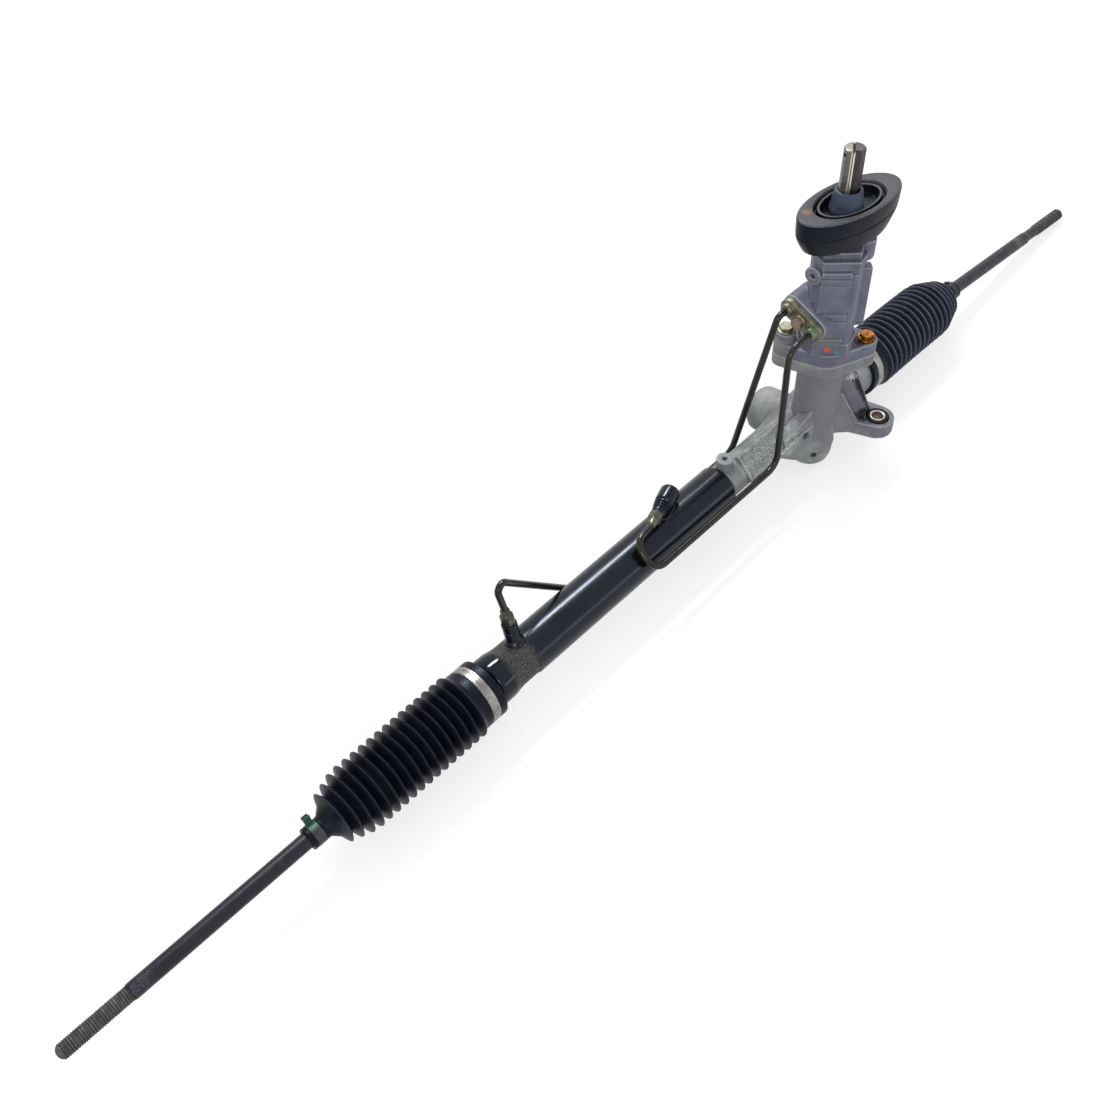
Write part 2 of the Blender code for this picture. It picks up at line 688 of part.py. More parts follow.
def make_piston():
    inner = RACK_RADIUS + FIT
    outer = CYLINDER_BORE - 2 * FIT
    groove = outer - PISTON_GROOVE_DEPTH
    half = PISTON_WIDTH / 2
    side = PISTON_GROOVE / 2
    piston = turned("piston", [
        (half, outer), (side, outer), (side, groove), (-side, groove), (-side, outer), (-half, outer),
        (-half, inner), (half, inner)], MEDIUM)
    finish(place(piston, (PISTON_X, 0, 0), ALONG_X), STEEL)
    piston_ring = ring("piston_ring", FIT - side, side - FIT, groove + FIT, CYLINDER_BORE - FIT, MEDIUM)
    finish(place(piston_ring, (PISTON_X, 0, 0), ALONG_X), PLASTIC)


def make_rack_guides():
    inner = RACK_RADIUS + FIT
    outer = CYLINDER_BORE - FIT
    left_bush = ring("rack_bush_left", LEFT_BUSH_X, LEFT_BUSH_X + RACK_BUSH_LENGTH, inner, outer, MEDIUM)
    finish(place(left_bush, rotation=ALONG_X), BRONZE)
    left_seal = ring("rack_seal_left", LEFT_SEAL_X, LEFT_SEAL_X + RACK_SEAL_LENGTH, inner, outer, MEDIUM)
    finish(place(left_seal, rotation=ALONG_X), RUBBER)
    spigot_end = -CYLINDER_RIGHT_END - SPIGOT_LENGTH
    seal_end = spigot_end - FIT
    right_seal = ring("rack_seal_right", seal_end - RACK_SEAL_LENGTH, seal_end, inner, outer, MEDIUM)
    finish(place(right_seal, rotation=ALONG_X), RUBBER)
    bush_outer = RACK_RADIUS + RIGHT_BUSH_WALL
    right_end = RIGHT_BUSH_X + 2 * RACK_BUSH_LENGTH
    right_bush = ring("rack_bush_right", RIGHT_BUSH_X + FIT, right_end, inner, bush_outer, MEDIUM)
    finish(place(right_bush, rotation=ALONG_X), BRONZE)


def port_axis():
    """Where the left port stands and which way it points."""
    return (0, math.sin(LEFT_PORT_LEAN), math.cos(LEFT_PORT_LEAN))


def make_cylinder():
    right = -CYLINDER_RIGHT_END
    lip = 2 * RUN
    bead = SHOULDER_X - BEAD_START
    bead_top = bead - BEAD_RISE
    cylinder = turned("cylinder_tube", [
        (right, CYLINDER_RADIUS - RUN), (right - RUN, CYLINDER_RADIUS),
        (SHOULDER_X + lip, CYLINDER_RADIUS), (SHOULDER_X, STUB_RADIUS), (bead, STUB_RADIUS),
        (bead_top, CYLINDER_RADIUS), (bead_top - BEAD_LENGTH, CYLINDER_RADIUS),
        (bead_top - BEAD_LENGTH - BEAD_FALL, STUB_RADIUS), (STUB_X, STUB_RADIUS),
        (STUB_X, CYLINDER_BORE), (right, CYLINDER_BORE)], LARGE)
    place(cylinder, rotation=ALONG_X)
    left_hole = cutter_rod(0, LEFT_PORT_TOP, PORT_HOLE, (LEFT_PORT_X, 0, 0), (-LEFT_PORT_LEAN, 0, 0), SMALL)
    mid_hole = cutter_rod(0, LEFT_PORT_TOP, PORT_HOLE, (MID_PORT_X, 0, 0), (0, 0, 0), SMALL)
    cut(cylinder, left_hole, mid_hole)
    finish(cylinder, BLACK_PAINT)
    ring_end = STUB_X + END_RING_LENGTH
    end_ring = ring("cylinder_end_ring", STUB_X, ring_end, STUB_RADIUS + FIT, END_RING_RADIUS, LARGE)
    finish(place(end_ring, rotation=ALONG_X), BLACK_PAINT)


def make_rack_housing():
    right = RIGHT_TUBE_END
    left = -CYLINDER_RIGHT_END
    spigot = CYLINDER_BORE - FIT
    bush_bore = RACK_RADIUS + RIGHT_BUSH_WALL + FIT
    bush_end = RIGHT_BUSH_X + 2 * RACK_BUSH_LENGTH
    housing = turned("rack_housing", [
        (right, RIGHT_TUBE_RADIUS), (RIGHT_TUBE_START, RIGHT_TUBE_RADIUS),
        (SWELL_END, SWELL_RADIUS), (SWELL_START, TUBE_RADIUS), (left + FIT, TUBE_RADIUS),
        (left + FIT, spigot), (left - SPIGOT_LENGTH, spigot), (left - SPIGOT_LENGTH, RACK_BORE),
        (RIGHT_BUSH_X, RACK_BORE), (RIGHT_BUSH_X, bush_bore), (bush_end, bush_bore),
        (bush_end, SOCKET_BORE), (right, SOCKET_BORE)], LARGE)
    place(housing, rotation=ALONG_X)
    lip_bottom = BARREL_LIP_TOP - BARREL_LIP_HEIGHT
    lip_radius = BARREL_RADIUS + BARREL_LIP_OUT
    barrel = turned("barrel", [
        (FLANGE_BOTTOM + RUN, 0), (FLANGE_BOTTOM + RUN, BARREL_RADIUS), (BARREL_LIP_TOP, BARREL_RADIUS),
        (BARREL_LIP_TOP - RUN, lip_radius), (lip_bottom, lip_radius), (lip_bottom - RUN, BARREL_RADIUS),
        (BARREL_FOOT_HEIGHT - BARREL_BOTTOM, BARREL_RADIUS), (-BARREL_BOTTOM, BARREL_FOOT_RADIUS),
        (-BARREL_BOTTOM, 0)], MEDIUM, CUTTER_COLLECTION, closed=False)
    place(barrel, (0, PINION_Y, 0))
    flange_outline = two_ears(FLANGE_RADIUS, EAR_RADIUS, EAR_SPACING, EAR_DIRECTION, 0, PINION_Y)
    flange = prism("flange", flange_outline, FLANGE_BOTTOM, FLANGE_JOINT, CUTTER_COLLECTION)
    yoke_boss = turned("yoke_boss", [
        (YOKE_BOSS_END, 0), (YOKE_BOSS_END, YOKE_BOSS_RADIUS - 4 * RUN),
        (YOKE_BOSS_END - 4 * RUN, YOKE_BOSS_RADIUS), (0, YOKE_BOSS_RADIUS), (0, 0)], MEDIUM,
        CUTTER_COLLECTION, closed=False)
    place(yoke_boss, (YOKE_X, 0, 0), (-math.pi / 2 + YOKE_TILT, 0, 0))
    join(housing, barrel, flange, yoke_boss, lug_arm(), gusset(), lug_rib(), panel(), boss())
    join(housing, upper_skirt(), lower_skirt())
    cut(housing, panel_recess(), *housing_bores())
    return finish(housing, CAST)


def lug_arm():
    """The arm from the barrel to the lug, as the hull of two circles."""
    along = math.atan2(LUG_Y - LUG_ROOT_Y, LUG_X - LUG_ROOT_X)
    span = math.hypot(LUG_X - LUG_ROOT_X, LUG_Y - LUG_ROOT_Y)
    lean = math.acos((LUG_ROOT_RADIUS - LUG_RADIUS) / span)
    outline = arc(LUG_X, LUG_Y, LUG_RADIUS, along - lean, along + lean, 8)
    outline += arc(LUG_ROOT_X, LUG_ROOT_Y, LUG_ROOT_RADIUS, along + lean, along + 2 * math.pi - lean, 8)
    return prism("lug_arm", outline, LUG_BOTTOM, LUG_TOP, CUTTER_COLLECTION)


def lug_web(name, height, top, foot, thickness, back):
    """An upright web from the barrel towards the lug, so far behind the line between their middles."""
    low = LUG_BOTTOM + RUN
    outline = [(0, low), (foot, low), (foot, LUG_TOP), (top, height), (0, height)]
    web = prism(name, outline, -thickness / 2, thickness / 2, CUTTER_COLLECTION)
    turn = math.atan2(LUG_Y - PINION_Y, LUG_X)
    back_x = -back * math.sin(turn)
    back_y = back * math.cos(turn)
    return place(web, (back_x, PINION_Y + back_y, 0), (math.pi / 2, 0, turn))


def gusset():
    """A web that braces the lug to the barrel, behind the bush so that its bolt stays free."""
    return lug_web("gusset", GUSSET_HEIGHT, GUSSET_TOP, GUSSET_FOOT, GUSSET_THICKNESS, GUSSET_BACK)


def lug_rib():
    """A thin rib in front of the gusset that ends short of the bush."""
    return lug_web("lug_rib", LUG_RIB_HEIGHT, LUG_RIB_TOP, LUG_RIB_FOOT, LUG_RIB_THICKNESS, -LUG_RIB_FRONT)


def upper_skirt():
    """The casting's swell between the top of the rack tube and the barrel."""
    inside = Vector((0, PINION_Y, SKIRT_UPPER_RIGHT.z))
    return hull("upper_skirt", [
        SKIRT_UPPER_LEFT, SKIRT_UPPER_RIGHT, SKIRT_MIDDLE_LEFT, SKIRT_MIDDLE_RIGHT, SKIRT_BACK_LEFT, inside,
        Vector((0, PINION_Y, 0))])


def lower_skirt():
    """The casting's swell from the panel's lower edge down to the barrel's foot."""
    down = Vector((0, 0, SKIRT_FOOT_INSET - BARREL_BOTTOM))
    inside = Vector((0, PINION_Y, 0))
    return hull("lower_skirt", [
        SKIRT_MIDDLE_LEFT, SKIRT_MIDDLE_RIGHT, SKIRT_LOWER_LEFT, SKIRT_BACK_LEFT, SKIRT_FOOT + down,
        SKIRT_FOOT_FRONT + down, inside + down, Vector((0, PINION_Y, SKIRT_MIDDLE_RIGHT.z))])


def panel_frame(name, length, half_width, low, high):
    """A slab along the rack tube whose flat face looks up and forward."""
    slab = block(name, (length, 2 * half_width, high - low))
    turn = Matrix.Rotation(PANEL_TURN, 4, "X")
    middle = turn @ Vector((-PANEL_RIGHT_END - PANEL_LENGTH / 2, 0, (low + high) / 2))
    return place(slab, middle, (PANEL_TURN, 0, 0))


def panel():
    return panel_frame("panel", PANEL_LENGTH, PANEL_HALF_WIDTH, 0, PANEL_HEIGHT)


def panel_recess():
    length = PANEL_LENGTH - 2 * PANEL_RAIL
    half_width = PANEL_HALF_WIDTH - PANEL_RAIL
    return panel_frame("recess", length, half_width, PANEL_HEIGHT - PANEL_RECESS, PANEL_HEIGHT + RUN)


def boss():
    return cutter_rod(0, BOSS_TOP, BOSS_RADIUS, (BOSS_X, BOSS_Y, 0))


def ear_place(side):
    ear_x = side * EAR_SPACING * math.cos(EAR_DIRECTION)
    ear_y = PINION_Y + side * EAR_SPACING * math.sin(EAR_DIRECTION)
    return ear_x, ear_y


def ear_top(side):
    """The left ear carries a raised boss under its bolt."""
    return FLANGE_TOP + EAR_BOSS_HEIGHT if side < 0 else FLANGE_TOP


def housing_bores():
    past = 4 * RUN
    pinion_place = (0, PINION_Y, 0)
    rack_way = cutter_rod(-CYLINDER_RIGHT_END - SPIGOT_LENGTH - past, RIGHT_BUSH_X - past, RACK_BORE,
                          rotation=ALONG_X, steps=LARGE)
    pinion_way = cutter_rod(LOWER_BEARING_TOP - past, UPPER_BEARING_BOTTOM + past, PINION_BORE, pinion_place)
    lower_radius = LOWER_BEARING_RADIUS + FIT
    lower_seat = cutter_rod(-BARREL_BOTTOM - past, LOWER_BEARING_TOP + FIT, lower_radius, pinion_place)
    upper_radius = UPPER_BEARING_RADIUS + FIT
    upper_seat = cutter_rod(UPPER_BEARING_BOTTOM - FIT, FLANGE_JOINT + past, upper_radius, pinion_place)
    yoke_turn = (-math.pi / 2 + YOKE_TILT, 0, 0)
    yoke_way = cutter_rod(0, YOKE_BOSS_END + past, YOKE_RADIUS + FIT, (YOKE_X, 0, 0), yoke_turn, MEDIUM)
    boss_place = (BOSS_X, BOSS_Y, BOSS_TOP)
    boss_hole = cutter_rod(-BOSS_HOLE_DEPTH, past, BOSS_HOLE, boss_place, steps=SMALL)
    lug_way = cutter_rod(LUG_BOTTOM - past, LUG_TOP + GUSSET_HEIGHT, LUG_BORE, (LUG_X, LUG_Y, 0))
    ear_holes = []
    for side in (-1, 1):
        where = (*ear_place(side), 0)
        radius = FLANGE_BOLT_RADIUS + FIT
        ear_holes.append(cutter_rod(FLANGE_BOTTOM - past, FLANGE_JOINT + past, radius, where, steps=SMALL))
    return [rack_way, pinion_way, lower_seat, upper_seat, yoke_way, boss_hole, lug_way] + ear_holes


def make_bush():
    rubber = ring("bush_rubber", LUG_BOTTOM, LUG_TOP, SLEEVE_RADIUS + FIT, LUG_BORE - FIT)
    finish(place(rubber, (LUG_X, LUG_Y, 0)), RUBBER)
    sleeve_low = LUG_BOTTOM - SLEEVE_STICKOUT
    sleeve_high = LUG_TOP + SLEEVE_STICKOUT
    sleeve = ring("bush_sleeve", sleeve_low, sleeve_high, SLEEVE_BORE, SLEEVE_RADIUS)
    finish(place(sleeve, (LUG_X, LUG_Y, 0)), STEEL)


def spring_route():
    """A helix that runs along local Z from the yoke's pocket to the plug."""
    start = YOKE_BACK - YOKE_POCKET_DEPTH + SPRING_WIRE + FIT
    end = YOKE_PLUG_START - SPRING_WIRE - FIT
    per_turn = 9
    count = SPRING_TURNS * per_turn
    route = []
    for index in range(count + 1):
        angle = 2 * math.pi * index / per_turn
        height = start + (end - start) * index / count
        route.append(Vector((SPRING_RADIUS * math.cos(angle), SPRING_RADIUS * math.sin(angle), height)))
    gaps = [(route[index] - route[other]).length
            for index in range(count + 1) for other in range(index + per_turn - 1, count + 1)]
    print("yoke_spring's least gap to itself: %.2f mm" % ((min(gaps) - 2 * SPRING_WIRE) / MM))
    return route


def make_yoke():
    axis = bpy.data.objects.new("yoke_axis", None)
    PART_COLLECTION.objects.link(axis)
    place(axis, (YOKE_X, 0, 0), (-math.pi / 2 + YOKE_TILT, 0, 0))
    pocket = YOKE_BACK - YOKE_POCKET_DEPTH
    yoke = turned("yoke", [
        (pocket, 0), (pocket, YOKE_POCKET_RADIUS), (YOKE_BACK, YOKE_POCKET_RADIUS), (YOKE_BACK, YOKE_RADIUS),
        (YOKE_FRONT, YOKE_RADIUS), (YOKE_FRONT, 0)], closed=False)
    saddle = cutter_rod(-4 * YOKE_RADIUS, 4 * YOKE_RADIUS, RACK_RADIUS + FIT, rotation=ALONG_X, steps=MEDIUM)
    finish(cut(yoke, saddle), PLASTIC)
    spring = finish(tube("yoke_spring", spring_route(), SPRING_WIRE, 1), STEEL)
    plug = rod("yoke_plug", YOKE_PLUG_START, YOKE_BOSS_END + RUN, YOKE_RADIUS)
    top = YOKE_BOSS_END + RUN
    key = prism("key", hexagon(YOKE_PLUG_HEX), top - YOKE_PLUG_HEX_DEPTH, top + RUN, CUTTER_COLLECTION)
    finish(cut(plug, key), STEEL)
    for piece in (yoke, spring, plug):
        piece.parent = axis


def make_pinion_bearings():
    where = (0, PINION_Y, 0)
    bottom = LOWER_BEARING_TOP - LOWER_BEARING_HEIGHT
    lower = ring("lower_bearing", bottom, LOWER_BEARING_TOP, LOWER_JOURNAL_RADIUS + FIT, LOWER_BEARING_RADIUS)
    finish(place(lower, where), STEEL)
    nut = prism("pinion_nut", hexagon(PINION_NUT_RADIUS), bottom - FIT - PINION_NUT_HEIGHT, bottom - FIT)
    hole = cutter_rod(2 * bottom, 0, LOWER_JOURNAL_RADIUS + FIT)
    finish(place(cut(nut, hole), where), STEEL)
    cap = rod("bottom_cap", CAP_X, CAP_X + CAP_HEIGHT, LOWER_BEARING_RADIUS)
    key = prism("key", hexagon(PINION_NUT_RADIUS / 2), CAP_X - RUN, CAP_X + CAP_HEIGHT / 2, CUTTER_COLLECTION)
    finish(place(cut(cap, key), where), STEEL)
    upper_top = UPPER_BEARING_BOTTOM + UPPER_BEARING_HEIGHT
    upper_inner = UPPER_JOURNAL_RADIUS + FIT
    upper = ring("upper_bearing", UPPER_BEARING_BOTTOM, upper_top, upper_inner, UPPER_BEARING_RADIUS)
    finish(place(upper, where), STEEL)


def valve_section(name, low, high, grow=0):
    """A length of the cast tower: a broad flat in front, flat sides, round at the back."""
    out = VALVE_BODY_RADIUS + grow
    corner = math.atan2(VALVE_SIDE_HALF, out)
    outline = [(out, -VALVE_SIDE_HALF)]
    outline += arc(0, 0, math.hypot(out, VALVE_SIDE_HALF), corner, math.pi - corner, 7)
    outline += [(-out, -VALVE_SIDE_HALF), (-VALVE_FLAT_HALF, -out), (VALVE_FLAT_HALF, -out)]
    section = prism(name, outline, low, high, CUTTER_COLLECTION)
    return place(section, (0, PINION_Y, 0), (0, 0, EAR_DIRECTION))


def front_rails():
    """A raised border on the tower's broad front flat, open at the lower left."""
    left = RAIL_LEFT
    right = VALVE_FLAT_HALF - RUN
    low = FLANGE_TOP + TOWER_FOOT_HEIGHT - RUN
    under = RAIL_TOP - RAIL_WIDTH
    outline = [
        (left, LEFT_RAIL_BOTTOM), (left + RAIL_WIDTH, LEFT_RAIL_BOTTOM), (left + RAIL_WIDTH, under),
        (right - RAIL_WIDTH, under), (right - RAIL_WIDTH, low), (right, low), (right, RAIL_TOP),
        (left, RAIL_TOP)]
    reach = VALVE_BODY_RADIUS + RAIL_OUT
    rails = prism("rails", outline, reach - 3 * RAIL_OUT, reach, CUTTER_COLLECTION)
    return place(rails, (0, PINION_Y, 0), (math.pi / 2, 0, EAR_DIRECTION))


def side_web():
    """A web down the tower's side from its threaded boss to the pipe pad."""
    high = SIDE_BOSS_Z
    low = PLATE_Z
    middle = (high + low) / 2
    outline = [
        (0, high), (-SIDE_WEB_OUT, high), (-SIDE_WEB_WAIST, middle), (-SIDE_WEB_OUT, low), (0, low)]
    half = SIDE_WEB_THICKNESS / 2
    web = prism("side_web", outline, -half, half, CUTTER_COLLECTION)
    return place(web, (0, SIDE_BOSS_Y, 0), (math.pi / 2, 0, 0))


def make_valve_housing():
    where = (0, PINION_Y, 0)
    bottom = FLANGE_JOINT + FIT
    flange_outline = two_ears(FLANGE_RADIUS, EAR_RADIUS, EAR_SPACING, EAR_DIRECTION, 0, 0)
    housing = place(prism("valve_housing", flange_outline, bottom, FLANGE_TOP), where)
    body = valve_section("body", bottom + RUN, VALVE_SHOULDER - RUN)
    foot = valve_section("foot", FLANGE_TOP - RUN, FLANGE_TOP + TOWER_FOOT_HEIGHT, TOWER_FOOT_OUT)
    rim = valve_section("rim", VALVE_SHOULDER - VALVE_RIM_HEIGHT, VALVE_SHOULDER, VALVE_RIM_OUT)
    step = valve_section("step", VALVE_SHOULDER - RUN, VALVE_SHOULDER + VALVE_STEP_HEIGHT, -VALVE_STEP_IN)
    neck = cutter_rod(VALVE_SHOULDER - VALVE_RIM_HEIGHT, NECK_TOP, NECK_RADIUS, where, steps=MEDIUM)
    strip = block("strip", (STRIP_OUT, STRIP_WIDTH, STRIP_TOP - STRIP_BOTTOM))
    strip_x = STRIP_OUT / 2 * math.cos(STRIP_DIRECTION)
    strip_y = PINION_Y + STRIP_OUT / 2 * math.sin(STRIP_DIRECTION)
    place(strip, (strip_x, strip_y, (STRIP_TOP + STRIP_BOTTOM) / 2), (0, 0, STRIP_DIRECTION))
    lobe_x = LOBE_DISTANCE * math.cos(LOBE_DIRECTION)
    lobe_y = PINION_Y + LOBE_DISTANCE * math.sin(LOBE_DIRECTION)
    lobe_low = LOBE_TOP - LOBE_HEIGHT
    lobe = turned("lobe", [
        (LOBE_TOP, 0), (LOBE_TOP, LOBE_RADIUS), (lobe_low + LOBE_RADIUS / 2, LOBE_RADIUS),
        (lobe_low, LOBE_RADIUS / 2), (lobe_low, 0)], SMALL, CUTTER_COLLECTION, closed=False)
    place(lobe, (lobe_x, lobe_y, 0))
    boss_root = (0, SIDE_BOSS_Y, SIDE_BOSS_Z)
    side_boss = cutter_rod(0, -SIDE_BOSS_FACE, SIDE_BOSS_RADIUS, boss_root, AGAINST_X, SMALL)
    ear_boss = cutter_rod(bottom, FLANGE_TOP + EAR_BOSS_HEIGHT, EAR_RADIUS - RUN / 4, (*ear_place(-1), 0))
    join(housing, body, foot, rim, step, neck, strip, lobe, side_boss, side_web(), pipe_pad(), front_rails())
    join(housing, ear_boss)
    past = 4 * RUN
    bore_top = SLEEVE_TOP + SHAFT_BEARING_HEIGHT + SHAFT_SEAL_HEIGHT + 3 * FIT
    bore = cutter_rod(bottom - past, bore_top, VALVE_BORE, where)
    shaft_way = cutter_rod(bottom, NECK_TOP + past, NECK_BORE, where)
    hole_place = (SIDE_BOSS_FACE, SIDE_BOSS_Y, SIDE_BOSS_Z)
    side_hole = cutter_rod(-past, SIDE_BOSS_HOLE_DEPTH, SIDE_BOSS_HOLE, hole_place, ALONG_X, SMALL)
    bolt_place = (PLATE_FACE, PLATE_Y, PLATE_Z)
    bolt_hole = cutter_rod(-past, PLATE_BOLT_LENGTH, PLATE_BOLT_RADIUS + FIT, bolt_place, ALONG_X, SMALL)
    cut(housing, bore, shaft_way, side_hole, bolt_hole)
    for side in (-1, 1):
        radius = FLANGE_BOLT_RADIUS + FIT
        ear_hole = cutter_rod(bottom - past, ear_top(side) + past, radius, (*ear_place(side), 0), steps=SMALL)
        cut(housing, ear_hole)
    return finish(housing, TOWER_CAST)


def plate_frame():
    """Turns a flat outline into the plane of the pipe plate, its long side along the plate."""
    face_x = Matrix(((0, 0, -1, 0), (-1, 0, 0, 0), (0, 1, 0, 0), (0, 0, 0, 1)))
    lean = Matrix.Rotation(-PLATE_TILT, 4, "Z")
    return Matrix.Translation((PLATE_FACE, PLATE_Y, PLATE_Z)) @ face_x @ lean


def plate_end(side, out):
    return plate_frame() @ Vector((side * PLATE_SPACING, 0, out))


def pipe_pad():
    outline = stadium(2 * (PLATE_SPACING + PLATE_RADIUS + RUN), 2 * (PLATE_RADIUS + RUN))
    pad = prism("pad", outline, -VALVE_BODY_RADIUS - PLATE_THICKNESS, 0, CUTTER_COLLECTION)
    pad.matrix_world = plate_frame()
    return pad


def make_pipe_plate():
    outline = stadium(2 * (PLATE_SPACING + PLATE_RADIUS), 2 * PLATE_RADIUS)
    plate = prism("pipe_plate", outline, FIT, PLATE_THICKNESS)
    for side in (-1, 1):
        collar = cutter_rod(PLATE_THICKNESS / 2, PLATE_THICKNESS + PLATE_COLLAR_LENGTH, PLATE_COLLAR_RADIUS,
                            (side * PLATE_SPACING, 0, 0), steps=SMALL)
        join(plate, collar)
    cut(plate, cutter_rod(-RUN, 2 * PLATE_THICKNESS, PLATE_BOLT_RADIUS + FIT, steps=SMALL))
    plate.matrix_world = plate_frame()
    finish(plate, ZINC)
    length = PLATE_BOLT_LENGTH + PLATE_THICKNESS - RUN
    bolt = hex_bolt("pipe_plate_bolt", PLATE_BOLT_RADIUS, PLATE_BOLT_HEAD, length)
    bolt.matrix_world = plate_frame() @ Matrix.Translation((0, 0, PLATE_THICKNESS + FIT))
    finish(bolt, ZINC)


def hex_bolt(name, radius, head_radius, length):
    """A bolt with its head on local +Z and its shank running down local Z."""
    bolt = prism(name, hexagon(head_radius), BOLT_WASHER_HEIGHT / 2, BOLT_HEAD_HEIGHT)
    washer = cutter_rod(0, BOLT_WASHER_HEIGHT, head_radius + RUN / 2, steps=SMALL)
    shank = cutter_rod(-length, BOLT_HEAD_HEIGHT / 2, radius, steps=SMALL)
    return join(bolt, washer, shank)


def make_flange_bolts():
    for name, side in (("flange_bolt_left", -1), ("flange_bolt_right", 1)):
        length = ear_top(side) - FLANGE_BOTTOM - RUN
        bolt = hex_bolt(name, FLANGE_BOLT_RADIUS, FLANGE_BOLT_HEAD, length)
        finish(place(bolt, (*ear_place(side), ear_top(side) + FIT)), ZINC)


def make_rotary_valve():
    where = (0, PINION_Y, 0)
    inner = INPUT_SHAFT_RADIUS + FIT
    land = VALVE_SLEEVE_RADIUS
    groove = land - 2 * RUN
    radii = [land, groove, land, groove, land]
    step = (SLEEVE_TOP - SLEEVE_BOTTOM) / len(radii)
    outline = []
    for index, radius in enumerate(radii):
        outline += [(SLEEVE_TOP - index * step, radius), (SLEEVE_TOP - (index + 1) * step, radius)]
    outline += [(SLEEVE_BOTTOM, inner), (SLEEVE_TOP, inner)]
    finish(place(turned("valve_sleeve", outline), where), STEEL)
    bar = rod("torsion_bar", TORSION_BAR_BOTTOM, TORSION_BAR_TOP, TORSION_BAR_RADIUS, SMALL)
    finish(place(bar, where), STEEL)
    finish(place(make_input_shaft(), where), SHAFT_STEEL)
    bearing_low = SLEEVE_TOP + FIT
    bearing_high = bearing_low + SHAFT_BEARING_HEIGHT
    outer = VALVE_BORE - FIT
    finish(place(ring("shaft_bearing", bearing_low, bearing_high, inner, outer), where), STEEL)
    seal_low = bearing_high + FIT
    finish(place(ring("shaft_seal", seal_low, seal_low + SHAFT_SEAL_HEIGHT, inner, outer), where), RUBBER)


def make_input_shaft():
    bore = TORSION_BAR_RADIUS + FIT
    shaft = turned("input_shaft", [
        (INPUT_SHAFT_TOP, 0), (INPUT_SHAFT_TOP, INPUT_SHAFT_RADIUS - RUN),
        (INPUT_SHAFT_TOP - RUN, INPUT_SHAFT_RADIUS), (PINION_TOP + FIT, INPUT_SHAFT_RADIUS),
        (PINION_TOP + FIT, bore), (TORSION_BAR_TOP + FIT, bore), (TORSION_BAR_TOP + FIT, 0)], closed=False)
    size = 3 * INPUT_SHAFT_RADIUS
    flat = block("flat", (size, size, INPUT_SHAFT_FLAT_LENGTH))
    place(flat, (0, -INPUT_SHAFT_FLAT - size / 2, INPUT_SHAFT_TOP - INPUT_SHAFT_FLAT_LENGTH / 2 + RUN))
    notch_outline = [(-SHAFT_NOTCH_WIDTH / 2, RUN), (0, -SHAFT_NOTCH_DEPTH), (SHAFT_NOTCH_WIDTH / 2, RUN)]
    notch = prism("notch", notch_outline, INPUT_SHAFT_RADIUS / 2, size, CUTTER_COLLECTION)
    place(notch, (0, 0, INPUT_SHAFT_TOP), (math.pi / 2, 0, 0))
    hole_place = (0, 0, INPUT_SHAFT_TOP - SHAFT_HOLE_DOWN)
    hole = cutter_rod(-size, size, SHAFT_HOLE_RADIUS, hole_place, ALONG_X, SMALL)
    return cut(shaft, flat, notch, hole)


def make_bulkhead_seal():
    past = SEAL_TOP + RUN
    seal = prism("bulkhead_seal", oval(SEAL_LENGTH, SEAL_WIDTH), SEAL_STEP, SEAL_TOP)
    foot_outline = oval(SEAL_FOOT_LENGTH, SEAL_FOOT_WIDTH)
    foot = prism("foot", foot_outline, SEAL_BOTTOM, SEAL_STEP + RUN, CUTTER_COLLECTION)
    join(seal, foot)
    groove_outline = oval(SEAL_GROOVE_LENGTH, SEAL_GROOVE_WIDTH)
    groove = prism("groove", groove_outline, SEAL_TOP - SEAL_GROOVE_DEPTH, past, CUTTER_COLLECTION)
    lip_outline = oval(SEAL_LIP_LENGTH, SEAL_LIP_WIDTH)
    cut(groove, prism("lip", lip_outline, SEAL_BOTTOM, past + RUN, CUTTER_COLLECTION))
    well_outline = oval(SEAL_WELL_LENGTH, SEAL_WELL_WIDTH)
    well = prism("well", well_outline, SEAL_TOP - SEAL_WELL_DEPTH, past, CUTTER_COLLECTION)
    cut(seal, groove, well)
    ahead = Vector((SEAL_OFFSET, 0, 0))
    ahead.rotate(Matrix.Rotation(SEAL_TURN, 3, "Z"))
    place(seal, Vector((0, PINION_Y, 0)) + ahead, (0, 0, SEAL_TURN))
    cut(seal, cutter_rod(0, INPUT_SHAFT_TOP, NECK_RADIUS + FIT, (0, PINION_Y, 0)))
    return finish(seal, RUBBER)


def make_dust_collar():
    inner = INPUT_SHAFT_RADIUS + FIT
    plug = NECK_RADIUS
    collar = turned("dust_collar", [
        (COLLAR_TOP, COLLAR_TOP_RADIUS), (COLLAR_BASE + 2 * RUN, COLLAR_BASE_RADIUS),
        (COLLAR_BASE, COLLAR_BASE_RADIUS), (COLLAR_BASE, plug), (NECK_TOP + FIT, plug),
        (NECK_TOP + FIT, inner), (COLLAR_TOP, inner)])
    return finish(place(collar, (0, PINION_Y, 0)), SLATE_RUBBER)


def hex_nut(name, radius, length, bore):
    nut = prism(name, hexagon(radius), 0, length)
    return cut(nut, cutter_rod(-RUN, length + RUN, bore, steps=SMALL))


def cylinder_cutter(middle, reach):
    """The power cylinder's outside with a gap, to shape what stands on it."""
    return cutter_rod(middle - reach, middle + reach, CYLINDER_RADIUS + FIT, (0, 0, 0), ALONG_X, LARGE)


